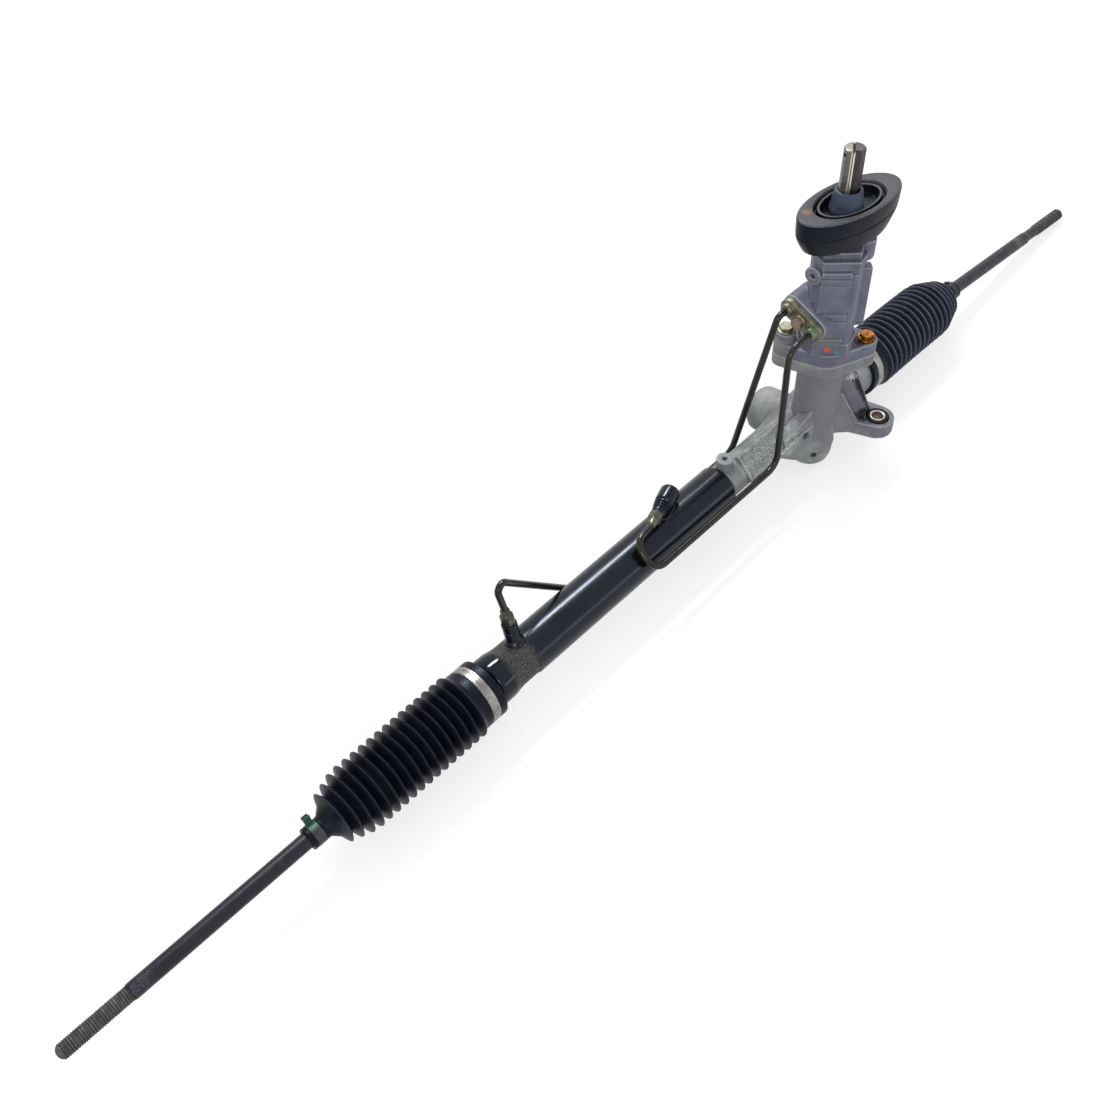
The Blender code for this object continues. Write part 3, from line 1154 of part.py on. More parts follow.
def make_left_port():
    lean = (-LEFT_PORT_LEAN, 0, 0)
    port = rod("port_boss_left", STUB_RADIUS / 2, LEFT_PORT_TOP, PORT_RADIUS, SMALL)
    place(port, (LEFT_PORT_X, 0, 0), lean)
    finish(cut(port, cylinder_cutter(LEFT_PORT_X, 3 * PORT_RADIUS)), BLACK_PAINT)
    nut = hex_nut("tube_nut_left", NUT_RADIUS, NUT_LENGTH, PIPE_RADIUS + FIT)
    axis = Vector(port_axis())
    finish(place(nut, Vector((LEFT_PORT_X, 0, 0)) + axis * (LEFT_PORT_TOP + FIT), lean), SHAFT_STEEL)


def mid_port_frame():
    """The mid port lies on top of the cylinder; local Z runs along it to its nut."""
    lie = Matrix.Rotation(MID_PORT_TURN, 4, "Z") @ Matrix.Rotation(math.pi / 2, 4, "Y")
    return Matrix.Translation((MID_PORT_X, MID_PORT_Y, MID_PORT_HEIGHT)) @ lie


def make_mid_port():
    half = MID_PORT_LENGTH / 2
    radius = MID_PORT_RADIUS
    port = turned("port_boss_mid", [
        (half, 0), (half, radius - RUN), (half - 2 * RUN, radius), (2 * RUN - half, radius),
        (-half, radius - 2 * RUN), (-half, 0)], SMALL, closed=False)
    port.matrix_world = mid_port_frame()
    foot = block("foot", (MID_FOOT_LENGTH, MID_FOOT_WIDTH, MID_PORT_HEIGHT))
    place(foot, (MID_PORT_X, MID_PORT_Y, MID_PORT_HEIGHT / 2), (0, 0, MID_PORT_TURN))
    join(port, foot)
    finish(cut(port, cylinder_cutter(MID_PORT_X, 2 * MID_PORT_LENGTH)), BLACK_PAINT)
    nut = hex_nut("tube_nut_mid", NUT_RADIUS, NUT_LENGTH, PIPE_RADIUS + FIT)
    nut.matrix_world = mid_port_frame() @ Matrix.Translation((0, 0, half + FIT))
    finish(nut, STEEL)


def make_left_pipe():
    axis = Vector(port_axis())
    port = Vector((LEFT_PORT_X, 0, 0))
    reach = CYLINDER_RADIUS + PIPE_RADIUS + PIPE_CYLINDER_GAP
    behind = Vector((0, reach * math.cos(PIPE_BEHIND_DROP), -reach * math.sin(PIPE_BEHIND_DROP)))
    corners = [
        port + axis * (LEFT_PORT_TOP + 2 * FIT),
        port + axis * (LEFT_PORT_TOP + NUT_LENGTH + PIPE_BEND / 2),
        port + LEFT_PIPE_LOOP,
        port + Vector((LEFT_PIPE_DIVE, 0, 0)) + behind,
        Vector((LEFT_PIPE_RISE_X, 0, 0)) + behind,
        plate_end(-1, LEFT_PIPE_LEAD),
        plate_end(-1, PLATE_THICKNESS + PLATE_COLLAR_LENGTH + FIT)]
    finish(tube("pipe_left", bent_route(corners, PIPE_BEND), PIPE_RADIUS), PIPE_STEEL)


def make_mid_pipe():
    frame = mid_port_frame()
    half = MID_PORT_LENGTH / 2
    in_front = Vector((0, -CYLINDER_RADIUS - PIPE_RADIUS - MID_PIPE_FRONT_GAP, 0))
    turn = Vector((MID_PORT_X - half - NUT_LENGTH - MID_PIPE_TURN, 0, 0))
    corners = [
        frame @ Vector((0, 0, half + 2 * FIT)),
        frame @ Vector((0, 0, half + NUT_LENGTH + PIPE_BEND / 2)),
        turn + MID_PIPE_TOP,
        turn + in_front + Vector((0, -2 * RUN, MID_PIPE_FRONT_Z)),
        MID_PIPE_RISE + in_front,
        plate_end(1, MID_PIPE_LEAD),
        plate_end(1, PLATE_THICKNESS + PLATE_COLLAR_LENGTH + FIT)]
    finish(tube("pipe_mid", bent_route(corners, PIPE_BEND), PIPE_RADIUS), PIPE_STEEL)


def make_ball_joint(side, ball_x, turn):
    """Socket and seat ride the rack; the tie rod with its ball swings in them. Local Z points outward."""
    where = (ball_x, 0, 0)
    straight = ALONG_X if side == "right" else AGAINST_X
    seat_inner = BALL_RADIUS + BALL_GAP
    seat_outer = seat_inner + SEAT_WALL
    cavity = seat_outer + FIT
    stud_end = -SOCKET_BACK - SOCKET_STUD_LENGTH
    socket = turned("ball_socket_" + side, [
        (-cavity, 0), (-cavity, cavity), (SEAT_MOUTH + FIT, cavity), (SEAT_MOUTH + FIT, SEAT_MOUTH_RADIUS),
        (SOCKET_FRONT, SOCKET_MOUTH_RADIUS), (SOCKET_FRONT, SOCKET_RADIUS - RUN),
        (SOCKET_FRONT - 4 * RUN, SOCKET_RADIUS),
        (RUN - SOCKET_BACK + SOCKET_HEX_LENGTH, SOCKET_RADIUS), (SOCKET_HEX_LENGTH - SOCKET_BACK, SOCKET_HEX),
        (-SOCKET_BACK, SOCKET_HEX), (-SOCKET_BACK, SOCKET_STUD_RADIUS), (stud_end, SOCKET_STUD_RADIUS),
        (stud_end, 0)], closed=False)
    finish(place(socket, where, straight), STEEL)
    angles = [math.pi - math.pi * 0.5 * index / 5 for index in range(6)]
    mouth_angle = math.acos(SEAT_MOUTH / seat_inner)
    angles += [math.pi / 2 + (mouth_angle - math.pi / 2) * index / 2 for index in (1, 2)]
    cup = [(seat_inner * math.cos(a), seat_inner * math.sin(a)) for a in angles]
    cup[0] = (cup[0][0], 0)
    seat_back = [(SEAT_MOUTH, seat_outer), (-seat_outer, seat_outer), (-seat_outer, 0)]
    seat = turned("ball_seat_" + side, cup + seat_back, closed=False)
    finish(place(seat, where, straight), PLASTIC)
    ball_angles = [math.pi - index * math.pi / 9 for index in range(8)]
    ball = [(BALL_RADIUS * math.cos(a), BALL_RADIUS * math.sin(a)) for a in ball_angles if
            BALL_RADIUS * math.sin(a) >= ROD_NECK_RADIUS or a > math.pi / 2]
    ball[0] = (-BALL_RADIUS, 0)
    plain_end = ROD_LENGTH - THREAD_LENGTH
    outline = [
        (ROD_LENGTH, 0), (ROD_LENGTH, THREAD_RADIUS - RUN), (ROD_LENGTH - RUN, THREAD_RADIUS),
        (plain_end, THREAD_RADIUS), (plain_end - RUN, ROD_RADIUS), (SOCKET_FRONT + 6 * RUN, ROD_RADIUS),
        (SOCKET_FRONT + 2 * RUN, ROD_NECK_RADIUS), (ball[-1][0] + RUN, ROD_NECK_RADIUS)] + ball[::-1]
    tie_rod = turned("tie_rod_" + side, outline, MEDIUM, closed=False)
    finish(place(tie_rod, where, (0, turn, 0)), ROD_STEEL)


def rib_crests(start, first_radius, full_radius, ribs):
    """Height and radius of each rib's crest, from the large end; the ribs grow from the small end."""
    crests = []
    for index in range(ribs):
        grown = first_radius + RIB_GROWTH * (ribs - 1 - index)
        crests.append((start + (index + 0.5) * RIB_PITCH, min(full_radius, grown)))
    return crests


def bellows_outline(cuff_low, cuff_high, cuff_radius, small_end, crests):
    """Outline of a bellows along its length, its large cuff low and its small cuff high."""
    outer = cuff_radius + CUFF_WALL
    groove = outer - CUFF_GROOVE
    side = (CUFF_LENGTH - BAND_WIDTH) / 2 - FIT
    outside = [
        (cuff_low, outer), (cuff_low + side, outer), (cuff_low + side, groove), (cuff_high - side, groove),
        (cuff_high - side, outer), (cuff_high, outer)]
    for height, radius in crests:
        outside.append((height, radius))
        outside.append((height + RIB_PITCH / 2, radius - RIB_DEPTH))
    small_start = small_end - SMALL_CUFF_LENGTH
    small_groove = SMALL_CUFF_RADIUS - CUFF_GROOVE
    side = (SMALL_CUFF_LENGTH - CLIP_WIDTH) / 2 - FIT
    outside += [
        (small_start, SMALL_CUFF_RADIUS), (small_start + side, SMALL_CUFF_RADIUS),
        (small_start + side, small_groove), (small_end - side, small_groove),
        (small_end - side, SMALL_CUFF_RADIUS), (small_end, SMALL_CUFF_RADIUS)]
    full_radius = max(radius for height, radius in crests)
    last_full = max(height for height, radius in crests if radius == full_radius)
    bore = full_radius - RIB_DEPTH - BELLOWS_WALL
    small_bore = ROD_RADIUS + FIT
    inside = [
        (cuff_low, cuff_radius), (cuff_high, cuff_radius), (cuff_high + RIB_PITCH, bore), (last_full, bore),
        (small_start, small_bore), (small_end, small_bore)]
    return list(reversed(outside)) + inside


def bend_down(thing, start, pivot, droop):
    """Bend a bellows smoothly so that its small end follows a tie rod that droops at its ball."""
    end = 2 * pivot - start
    for vertex in thing.data.vertices:
        along = vertex.co.z
        share = max(0, min(1, (along - start) / (end - start)))
        angle = math.atan(share * math.tan(droop))
        past = max(0, along - end)
        drop = math.tan(droop) * share ** 2 * (end - start) / 2 + past * math.sin(droop)
        vertex.co.z = along - past * (1 - math.cos(droop)) - vertex.co.x * math.sin(angle)
        vertex.co.x = vertex.co.x * math.cos(angle) + drop


def make_bellows():
    left_high = -STUB_X + RUN
    left_cuff = END_RING_RADIUS + FIT
    left_small = SMALL_END_LEFT - BALL_LEFT_X
    left_crests = rib_crests(left_high, LEFT_FIRST_RIB, LEFT_RIB_RADIUS, LEFT_RIBS)
    left_outline = bellows_outline(left_high - CUFF_LENGTH, left_high, left_cuff, left_small, left_crests)
    left = turned("bellows_left", left_outline, RIBBED)
    finish(place(left, rotation=AGAINST_X), RUBBER)
    right_high = RIGHT_TUBE_END
    right_cuff = RIGHT_TUBE_RADIUS + FIT
    right_small = SMALL_END_RIGHT + BALL_RIGHT_X
    right_crests = rib_crests(right_high, RIGHT_FIRST_RIB, RIGHT_RIB_RADIUS, RIGHT_RIBS)
    right_low = right_high - CUFF_LENGTH
    right_outline = bellows_outline(right_low, right_high, right_cuff, right_small, right_crests)
    right = turned("bellows_right", right_outline, RIBBED)
    bend_down(right, 2 * BALL_RIGHT_X - right_small + SMALL_CUFF_LENGTH, BALL_RIGHT_X, RIGHT_DROOP)
    finish(place(right, rotation=ALONG_X), RUBBER)
    make_large_band("large_band_left", CUFF_LENGTH / 2 - left_high, left_cuff)
    make_large_band("large_band_right", right_high - CUFF_LENGTH / 2, right_cuff)


def make_large_band(name, middle, cuff_radius):
    inner = cuff_radius + CUFF_WALL - CUFF_GROOVE + FIT
    band = ring(name, -BAND_WIDTH / 2, BAND_WIDTH / 2, inner, inner + BAND_THICKNESS, RIBBED)
    finish(place(band, (middle, 0, 0), ALONG_X), BAND_STEEL)


def make_small_clip(side, ball_x, turn, small_end):
    """A spring clip on a small cuff, with its pinched tab standing up and leaning back."""
    inner = SMALL_CUFF_RADIUS - CUFF_GROOVE + FIT
    middle = small_end - SMALL_CUFF_LENGTH / 2
    half = CLIP_WIDTH / 2
    clip = ring("small_clip_" + side, middle - half, middle + half, inner, inner + CLIP_THICKNESS)
    length = CLIP_TAB + CLIP_THICKNESS
    tab = block("tab", (length, 2 * CLIP_THICKNESS, CLIP_TAB_WIDTH))
    up = -1 if turn > 0 else 1
    out = inner + FIT + length / 2
    tab_place = (up * out * math.cos(CLIP_TAB_LEAN), out * math.sin(CLIP_TAB_LEAN), middle)
    place(tab, tab_place, (0, 0, up * CLIP_TAB_LEAN))
    join(clip, tab)
    finish(place(clip, (ball_x, 0, 0), (0, turn, 0)), BAND_STEEL)


def main():
    make_rack_bar()
    make_pinion()
    make_piston()
    make_rack_guides()
    make_cylinder()
    make_rack_housing()
    make_bush()
    make_yoke()
    make_pinion_bearings()
    make_valve_housing()
    make_pipe_plate()
    make_flange_bolts()
    make_rotary_valve()
    make_bulkhead_seal()
    make_dust_collar()
    make_left_port()
    make_mid_port()
    make_left_pipe()
    make_mid_pipe()
    left_turn = -math.pi / 2
    right_turn = math.pi / 2 + RIGHT_DROOP
    make_ball_joint("left", BALL_LEFT_X, left_turn)
    make_ball_joint("right", BALL_RIGHT_X, right_turn)
    make_bellows()
    make_small_clip("left", BALL_LEFT_X, left_turn, SMALL_END_LEFT)
    bent_longer = (SMALL_END_RIGHT - SMALL_CUFF_LENGTH) * (1 / math.cos(RIGHT_DROOP) - 1)
    make_small_clip("right", BALL_RIGHT_X, right_turn, SMALL_END_RIGHT + bent_longer)
    bpy.context.view_layer.update()


main()
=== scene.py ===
# Rack and pinion steering gear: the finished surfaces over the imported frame.
# Sizes are in millimetres until a piece is put in the scene, which is in metres.
import math

import bmesh
import bpy
import numpy as np
from mathutils import Matrix, Vector, noise


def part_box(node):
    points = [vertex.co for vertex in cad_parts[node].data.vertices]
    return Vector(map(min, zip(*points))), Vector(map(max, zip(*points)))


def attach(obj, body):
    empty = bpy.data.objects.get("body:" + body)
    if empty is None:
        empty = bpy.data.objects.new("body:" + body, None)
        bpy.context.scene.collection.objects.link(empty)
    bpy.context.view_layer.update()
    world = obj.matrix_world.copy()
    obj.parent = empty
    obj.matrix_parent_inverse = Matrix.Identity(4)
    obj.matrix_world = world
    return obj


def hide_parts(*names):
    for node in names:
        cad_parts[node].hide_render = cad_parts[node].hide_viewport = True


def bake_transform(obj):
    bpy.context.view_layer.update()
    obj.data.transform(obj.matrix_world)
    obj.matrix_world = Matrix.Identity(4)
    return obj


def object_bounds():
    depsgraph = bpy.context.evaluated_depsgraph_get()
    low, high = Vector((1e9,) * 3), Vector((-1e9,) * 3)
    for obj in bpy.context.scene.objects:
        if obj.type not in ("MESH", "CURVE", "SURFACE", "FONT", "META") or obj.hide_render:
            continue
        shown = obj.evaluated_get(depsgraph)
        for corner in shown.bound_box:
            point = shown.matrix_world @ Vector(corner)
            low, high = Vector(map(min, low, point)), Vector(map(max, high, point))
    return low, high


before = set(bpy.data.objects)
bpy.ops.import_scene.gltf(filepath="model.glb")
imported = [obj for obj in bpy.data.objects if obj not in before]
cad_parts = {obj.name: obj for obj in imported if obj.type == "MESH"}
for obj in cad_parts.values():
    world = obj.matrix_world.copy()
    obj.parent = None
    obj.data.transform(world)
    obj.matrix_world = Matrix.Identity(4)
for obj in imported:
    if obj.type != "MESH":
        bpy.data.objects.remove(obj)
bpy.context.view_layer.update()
print("frame loaded:", len(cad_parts), "nodes")

mm = 0.001
toMetres = Matrix.Scale(mm, 4)


def shift(x, y, z):
    return Matrix.Translation((x, y, z))


def spun(degrees, axis="Z"):
    return Matrix.Rotation(math.radians(degrees), 4, axis)


alongX = spun(90, "Y")
againstX = spun(-90, "Y")


def boxOf(node):
    low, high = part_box(node)
    return Vector(low) / mm, Vector(high) / mm


def middleOf(node):
    low, high = boxOf(node)
    return (low + high) / 2


pinionAxis = middleOf("lower_bearing")
pinionAxis.z = 0


# Mesh tools

def weld(mesh, distance=0.002):
    shape = bmesh.new()
    shape.from_mesh(mesh)
    bmesh.ops.remove_doubles(shape, verts=shape.verts, dist=distance)
    bmesh.ops.recalc_face_normals(shape, faces=shape.faces)
    shape.to_mesh(mesh)
    shape.free()
    return mesh


def newMesh(name, points, faces):
    mesh = bpy.data.meshes.new(name)
    mesh.from_pydata([tuple(point) for point in points], [], faces)
    return weld(mesh)


def gridFaces(rows, columns, wrapRows):
    faces = []
    for row in range(rows if wrapRows else rows - 1):
        above = (row + 1) % rows
        for column in range(columns):
            beside = (column + 1) % columns
            faces.append((row * columns + column, row * columns + beside,
                          above * columns + beside, above * columns + column))
    return faces


def rounded(rows, closed=True, steps=5):
    # each row ends with the size of its corner's rounding
    points = [np.array(row[:-1], float) for row in rows]
    made = []
    for index, row in enumerate(rows):
        point = points[index]
        atEnd = not closed and index in (0, len(rows) - 1)
        if row[-1] <= 0 or atEnd:
            made.append(point)
            continue
        before = points[index - 1] - point
        after = points[(index + 1) % len(rows)] - point
        reach = min(row[-1], 0.48 * np.linalg.norm(before), 0.48 * np.linalg.norm(after))
        start = point + before * reach / np.linalg.norm(before)
        end = point + after * reach / np.linalg.norm(after)
        for step in range(steps + 1):
            t = step / steps
            made.append((1 - t) ** 2 * start + 2 * t * (1 - t) * point + t * t * end)
    return made


def densify(outline, longest):
    made = [outline[0]]
    for point in outline[1:]:
        span = np.linalg.norm(point - made[-1])
        count = max(1, math.ceil(span / longest))
        last = made[-1]
        made += [last + (point - last) * (step + 1) / count for step in range(count)]
    return made


def turned(name, rows, closed=True, sides=128, longest=0):
    # rows are (along, radius, corner) and turn about local Z
    outline = rounded(rows, closed)
    if longest:
        outline = densify(outline, longest)
    angles = np.arange(sides) * 2 * math.pi / sides
    points = [
        (radius * math.cos(a), radius * math.sin(a), along) for along, radius in outline for a in angles]
    return newMesh(name, points, gridFaces(len(outline), sides, closed))


def ovalTurned(name, rows, sides=144):
    # rows are (height, half length, half width, shift along X, corner)
    outline = rounded(rows)
    angles = np.arange(sides) * 2 * math.pi / sides
    points = []
    for height, halfLength, halfWidth, ahead in outline:
        points += [(ahead + halfLength * math.cos(a), halfWidth * math.sin(a), height) for a in angles]
    return newMesh(name, points, gridFaces(len(outline), sides, True))


def prism(name, outline, low, high, edge=0):
    count = len(outline)
    points = [(x, y, low) for x, y in outline] + [(x, y, high) for x, y in outline]
    faces = [tuple(reversed(range(count))), tuple(range(count, 2 * count))]
    faces += [(i, (i + 1) % count, count + (i + 1) % count, count + i) for i in range(count)]
    mesh = newMesh(name, points, faces)
    if edge:
        shape = bmesh.new()
        shape.from_mesh(mesh)
        rims = [e for e in shape.edges if abs(e.verts[0].co.z - e.verts[1].co.z) < 0.001]
        bmesh.ops.bevel(shape, geom=rims, offset=edge, segments=3, profile=0.5, affect="EDGES")
        shape.to_mesh(mesh)
        shape.free()
    return mesh


def arc(centreX, centreY, radius, start, end, count):
    angles = [start + (end - start) * step / count for step in range(count + 1)]
    return [(centreX + radius * math.cos(a), centreY + radius * math.sin(a)) for a in angles]


def stadium(halfSpan, radius, count=24):
    right = arc(halfSpan, 0, radius, -math.pi / 2, math.pi / 2, count)
    return right + arc(-halfSpan, 0, radius, math.pi / 2, 3 * math.pi / 2, count)


def hexHead(name, radius, low, high, sides=96):
    # a hexagon whose top corners are cut back by a 30 degree cone
    slope = math.pi / 6
    flatRadius = radius * math.cos(slope)
    crown = 0.96 * flatRadius
    rings = []
    for kind in ("foot", "under", "corner", "crown", "middle"):
        for step in range(sides):
            angle = 2 * math.pi * step / sides
            side = flatRadius / math.cos((angle % (2 * slope)) - slope)
            cutHeight = high - (side - crown) * math.tan(slope)
            reach, height = {"foot": (0, low), "under": (side, low), "corner": (side, cutHeight),
                             "crown": (crown, high), "middle": (0, high)}[kind]
            rings.append((reach * math.cos(angle), reach * math.sin(angle), height))
    return newMesh(name, rings, gridFaces(5, sides, False))


def bentRoute(corners, bend, steps=10):
    corners = [Vector(corner) for corner in corners]
    route = [corners[0]]
    for before, corner, after in zip(corners, corners[1:], corners[2:]):
        arriving = (corner - before).normalized()
        leaving = (after - corner).normalized()
        turn = arriving.angle(leaving)
        shortest = min((corner - before).length, (after - corner).length)
        reach = min(bend * math.tan(turn / 2), 0.49 * shortest)
        radius = reach / math.tan(turn / 2)
        inward = (leaving - arriving * math.cos(turn)).normalized()
        for step in range(steps + 1):
            angle = turn * step / steps
            along = arriving * (radius * math.sin(angle) - reach)
            route.append(corner + along + inward * (radius * (1 - math.cos(angle))))
    route.append(corners[-1])
    return route


def swept(name, route, radius, sides=24):
    count = len(route)
    ahead = [(route[min(i + 1, count - 1)] - route[max(i - 1, 0)]).normalized() for i in range(count)]
    side = ahead[0].orthogonal().normalized()
    points = [route[0]] * sides
    for index, middle in enumerate(route):
        side = (side - ahead[index] * side.dot(ahead[index])).normalized()
        over = ahead[index].cross(side)
        for step in range(sides):
            angle = 2 * math.pi * step / sides
            points.append(middle + radius * (side * math.cos(angle) + over * math.sin(angle)))
    points += [route[-1]] * sides
    return newMesh(name, points, gridFaces(count + 2, sides, False))


def placed(mesh, matrix):
    mesh.transform(matrix)
    return mesh


def joined(name, *meshes):
    shape = bmesh.new()
    for mesh in meshes:
        shape.from_mesh(mesh)
    made = bpy.data.meshes.new(name)
    shape.to_mesh(made)
    shape.free()
    return made


def holder(name, mesh):
    made = bpy.data.objects.new(name, mesh)
    bpy.context.scene.collection.objects.link(made)
    return made


def evaluated(thing):
    bpy.context.view_layer.update()
    depsgraph = bpy.context.evaluated_depsgraph_get()
    return bpy.data.meshes.new_from_object(thing.evaluated_get(depsgraph))


def carved(mesh, *cutters):
    target = holder("carveTarget", mesh)
    for cutter in cutters:
        tool = holder("carveTool", cutter)
        boolean = target.modifiers.new("carve", "BOOLEAN")
        boolean.operation = "DIFFERENCE"
        boolean.object = tool
        target.data = evaluated(target)
        target.modifiers.clear()
        bpy.data.objects.remove(tool)
    made = weld(target.data)
    bpy.data.objects.remove(target)
    return made


def piece(name, mesh, looks, body, node, sharpAngle=40):
    # a mesh that already carries its finishes keeps them
    mesh.transform(toMetres)
    mesh.name = name
    made = holder(name, mesh)
    if not mesh.materials:
        mesh.materials.append(finishes[looks])
    mesh.shade_smooth()
    mesh.set_sharp_from_angle(angle=math.radians(sharpAngle))
    if body:
        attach(made, body)
    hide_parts(node)
    return made


# Shader tools

def tone(red, green, blue):
    # a colour as it is seen, 0 to 255, as the light it gives back
    shares = [value / 255 for value in (red, green, blue)]
    return tuple(s / 12.92 if s < 0.04045 else ((s + 0.055) / 1.055) ** 2.4 for s in shares) + (1,)


class Value:
    # what a node gives out: each sum with it makes another node in the same tree
    def __init__(self, socket):
        self.socket = socket
        self.tree = socket.id_data

    def sums(self, operation, second=0.0):
        return newSum(self.tree, operation, self, second)

    def __add__(self, second):
        return self.sums("ADD", second)

    def __sub__(self, second):
        return self.sums("SUBTRACT", second)

    def __rsub__(self, first):
        return newSum(self.tree, "SUBTRACT", first, self)

    def __mul__(self, second):
        return self.sums("MULTIPLY", second)

    def __truediv__(self, second):
        return self.sums("DIVIDE", second)

    def __rtruediv__(self, first):
        return newSum(self.tree, "DIVIDE", first, self)


def connect(socket, value):
    if isinstance(value, Value):
        value.tree.links.new(value.socket, socket)
    else:
        socket.default_value = value


def newNode(tree, kind, inputs=None, out=0, **settings):
    made = tree.nodes.new(kind)
    for name, value in settings.items():
        setattr(made, name, value)
    for key, value in (inputs or {}).items():
        connect(made.inputs[key], value)
    return Value(made.outputs[out])


def newSum(tree, operation, first, second, clamp=False):
    return newNode(tree, "ShaderNodeMath", {0: first, 1: second}, operation=operation, use_clamp=clamp)


def vectorSum(operation, first, second, out="Vector"):
    return newNode(first.tree, "ShaderNodeVectorMath", {0: first, 1: second}, out, operation=operation)


def blended(share, first, second, how="MIX"):
    sockets = {0: share, 6: first, 7: second}
    return newNode(share.tree, "ShaderNodeMix", sockets, 2, data_type="RGBA", blend_type=how)


def ranged(value, low, high, outLow=0.0, outHigh=1.0):
    sockets = {"Value": value, "From Min": low, "From Max": high, "To Min": outLow, "To Max": outHigh}
    return newNode(value.tree, "ShaderNodeMapRange", sockets)


def objectPlace(tree):
    return newNode(tree, "ShaderNodeTexCoord", out="Object")


def groupEnds(tree):
    # the values that a node group is given, by name, and the sockets that it fills
    given = {socket.name: Value(socket) for socket in tree.nodes.new("NodeGroupInput").outputs if socket.name}
    return tree, given, tree.nodes.new("NodeGroupOutput").inputs


def clouds(place, scale, detail):
    return newNode(place.tree, "ShaderNodeTexNoise", {"Vector": place, "Scale": scale, "Detail": detail})


def wander(place, scale, detail, reach):
    # a cloud that strays to both sides of 0
    return ranged(clouds(place, scale, detail), 0.3, 0.7, -1.0, 1.0) * reach


def newGroup(name, inputs, outputs):
    # the inputs are numbers or vectors, each with its usual value
    tree = bpy.data.node_groups.new(name, "ShaderNodeTree")
    for label, value in inputs.items():
        kind = "NodeSocketVector" if isinstance(value, tuple) else "NodeSocketFloat"
        tree.interface.new_socket(label, in_out="INPUT", socket_type=kind).default_value = value
    for label in outputs:
        tree.interface.new_socket(label, in_out="OUTPUT", socket_type="NodeSocketFloat")
    return groupEnds(tree)


def textureScale(size):
    # the scale that gives a texture cells of this size in millimetres
    return 1 / mm / size


def makeMottleGroup():
    # broad clouds and fine grains of the same metal
    tree, given, out = newGroup("mottle", {"Size": 12.0}, ("Broad", "Fine", "Height"))
    place = objectPlace(tree)
    scale = textureScale(given["Size"])
    fineScale = scale * 9.0
    fine = clouds(place, fineScale, 4.0)
    pits = newNode(tree, "ShaderNodeTexVoronoi", {"Vector": place, "Scale": fineScale})
    connect(out["Broad"], ranged(clouds(place, scale, 5.0), 0.36, 0.66))
    connect(out["Fine"], ranged(fine, 0.35, 0.68))
    connect(out["Height"], fine + pits * 0.5)
    return tree


def makeSpotGroup():
    # a ragged spot of colour round one place: a stain, and on the housing also painted shade
    tree, given, out = newGroup("colourSpot", {
        "Place": (0, 0, 0), "Reach": 10.0, "Ragged": 0.4, "Grain": 5.0}, ("Mask",))
    place = objectPlace(tree)
    centre = vectorSum("MULTIPLY", given["Place"], (mm, mm, mm))
    far = vectorSum("DISTANCE", place, centre, "Value") / mm / given["Reach"]
    stray = wander(place, textureScale(given["Grain"]), 5.0, given["Ragged"])
    connect(out["Mask"], ranged(far + stray, 1.0, 0.55))
    return tree


def makeScuffGroup():
    # thin lines drawn out along one direction, in patches
    tree, given, out = newGroup("scuffs", {"Size": 8.0, "Stretch": (0.1, 1, 1), "Width": 0.02}, ("Lines",))
    place = objectPlace(tree)
    scale = textureScale(given["Size"])
    pulled = clouds(vectorSum("MULTIPLY", place, given["Stretch"]), scale, 2.0)
    lines = ranged((pulled - 0.5).sums("ABSOLUTE"), given["Width"], 0.0)
    connect(out["Lines"], lines * ranged(clouds(place, scale, 3.0), 0.52, 0.66))
    return tree


def makeBeltGroup():
    # a ragged belt between two places along X
    tree, given, out = newGroup("belt", {"From": 0.0, "To": 10.0, "Soft": 2.0, "Ragged": 2.0}, ("Mask",))
    place = objectPlace(tree)
    stray = wander(place, 300.0, 4.0, given["Ragged"])
    along = newNode(tree, "ShaderNodeSeparateXYZ", {0: place}, "X") / mm + stray
    entered = ranged(along, given["From"], given["From"] + given["Soft"])
    notLeft = ranged(along, given["To"], given["To"] - given["Soft"])
    connect(out["Mask"], entered * notLeft)
    return tree


groups = {
    "mottle": makeMottleGroup(), "colourSpot": makeSpotGroup(),
    "scuffs": makeScuffGroup(), "belt": makeBeltGroup()}


def effect(tree, name, inputs):
    made = tree.nodes.new("ShaderNodeGroup")
    made.node_tree = groups[name]
    for key, value in inputs.items():
        connect(made.inputs[key], value)
    return {output.name: Value(output) for output in made.outputs}


def newFinish(name, metallic=0.0, specular=0.35, tint=(1, 1, 1, 1)):
    made = bpy.data.materials.new(name)
    made.use_nodes = True
    shader = made.node_tree.nodes["Principled BSDF"]
    shader.inputs["Metallic"].default_value = metallic
    shader.inputs["Specular IOR Level"].default_value = specular
    shader.inputs["Specular Tint"].default_value = tint
    return made, made.node_tree, shader


def dress(shader, colour, rough, height, strength, depth):
    sockets = {"Height": height, "Strength": strength, "Distance": depth * mm}
    bump = newNode(height.tree, "ShaderNodeBump", sockets)
    for label, value in (("Base Color", colour), ("Roughness", rough), ("Normal", bump)):
        connect(shader.inputs[label], value)


def spotted(tree, colour, stains):
    # each spot is (place, reach, raggedness, grain, colour, strength); most are stains, some on the housing
    # are painted shade
    for place, reach, ragged, grain, spotColour, strength in stains:
        spot = effect(tree, "colourSpot", {"Place": place, "Reach": reach, "Ragged": ragged, "Grain": grain})
        colour = blended(spot["Mask"] * strength, colour, tone(*spotColour))
    return colour


coldSheen = (0.72, 0.82, 1, 1)


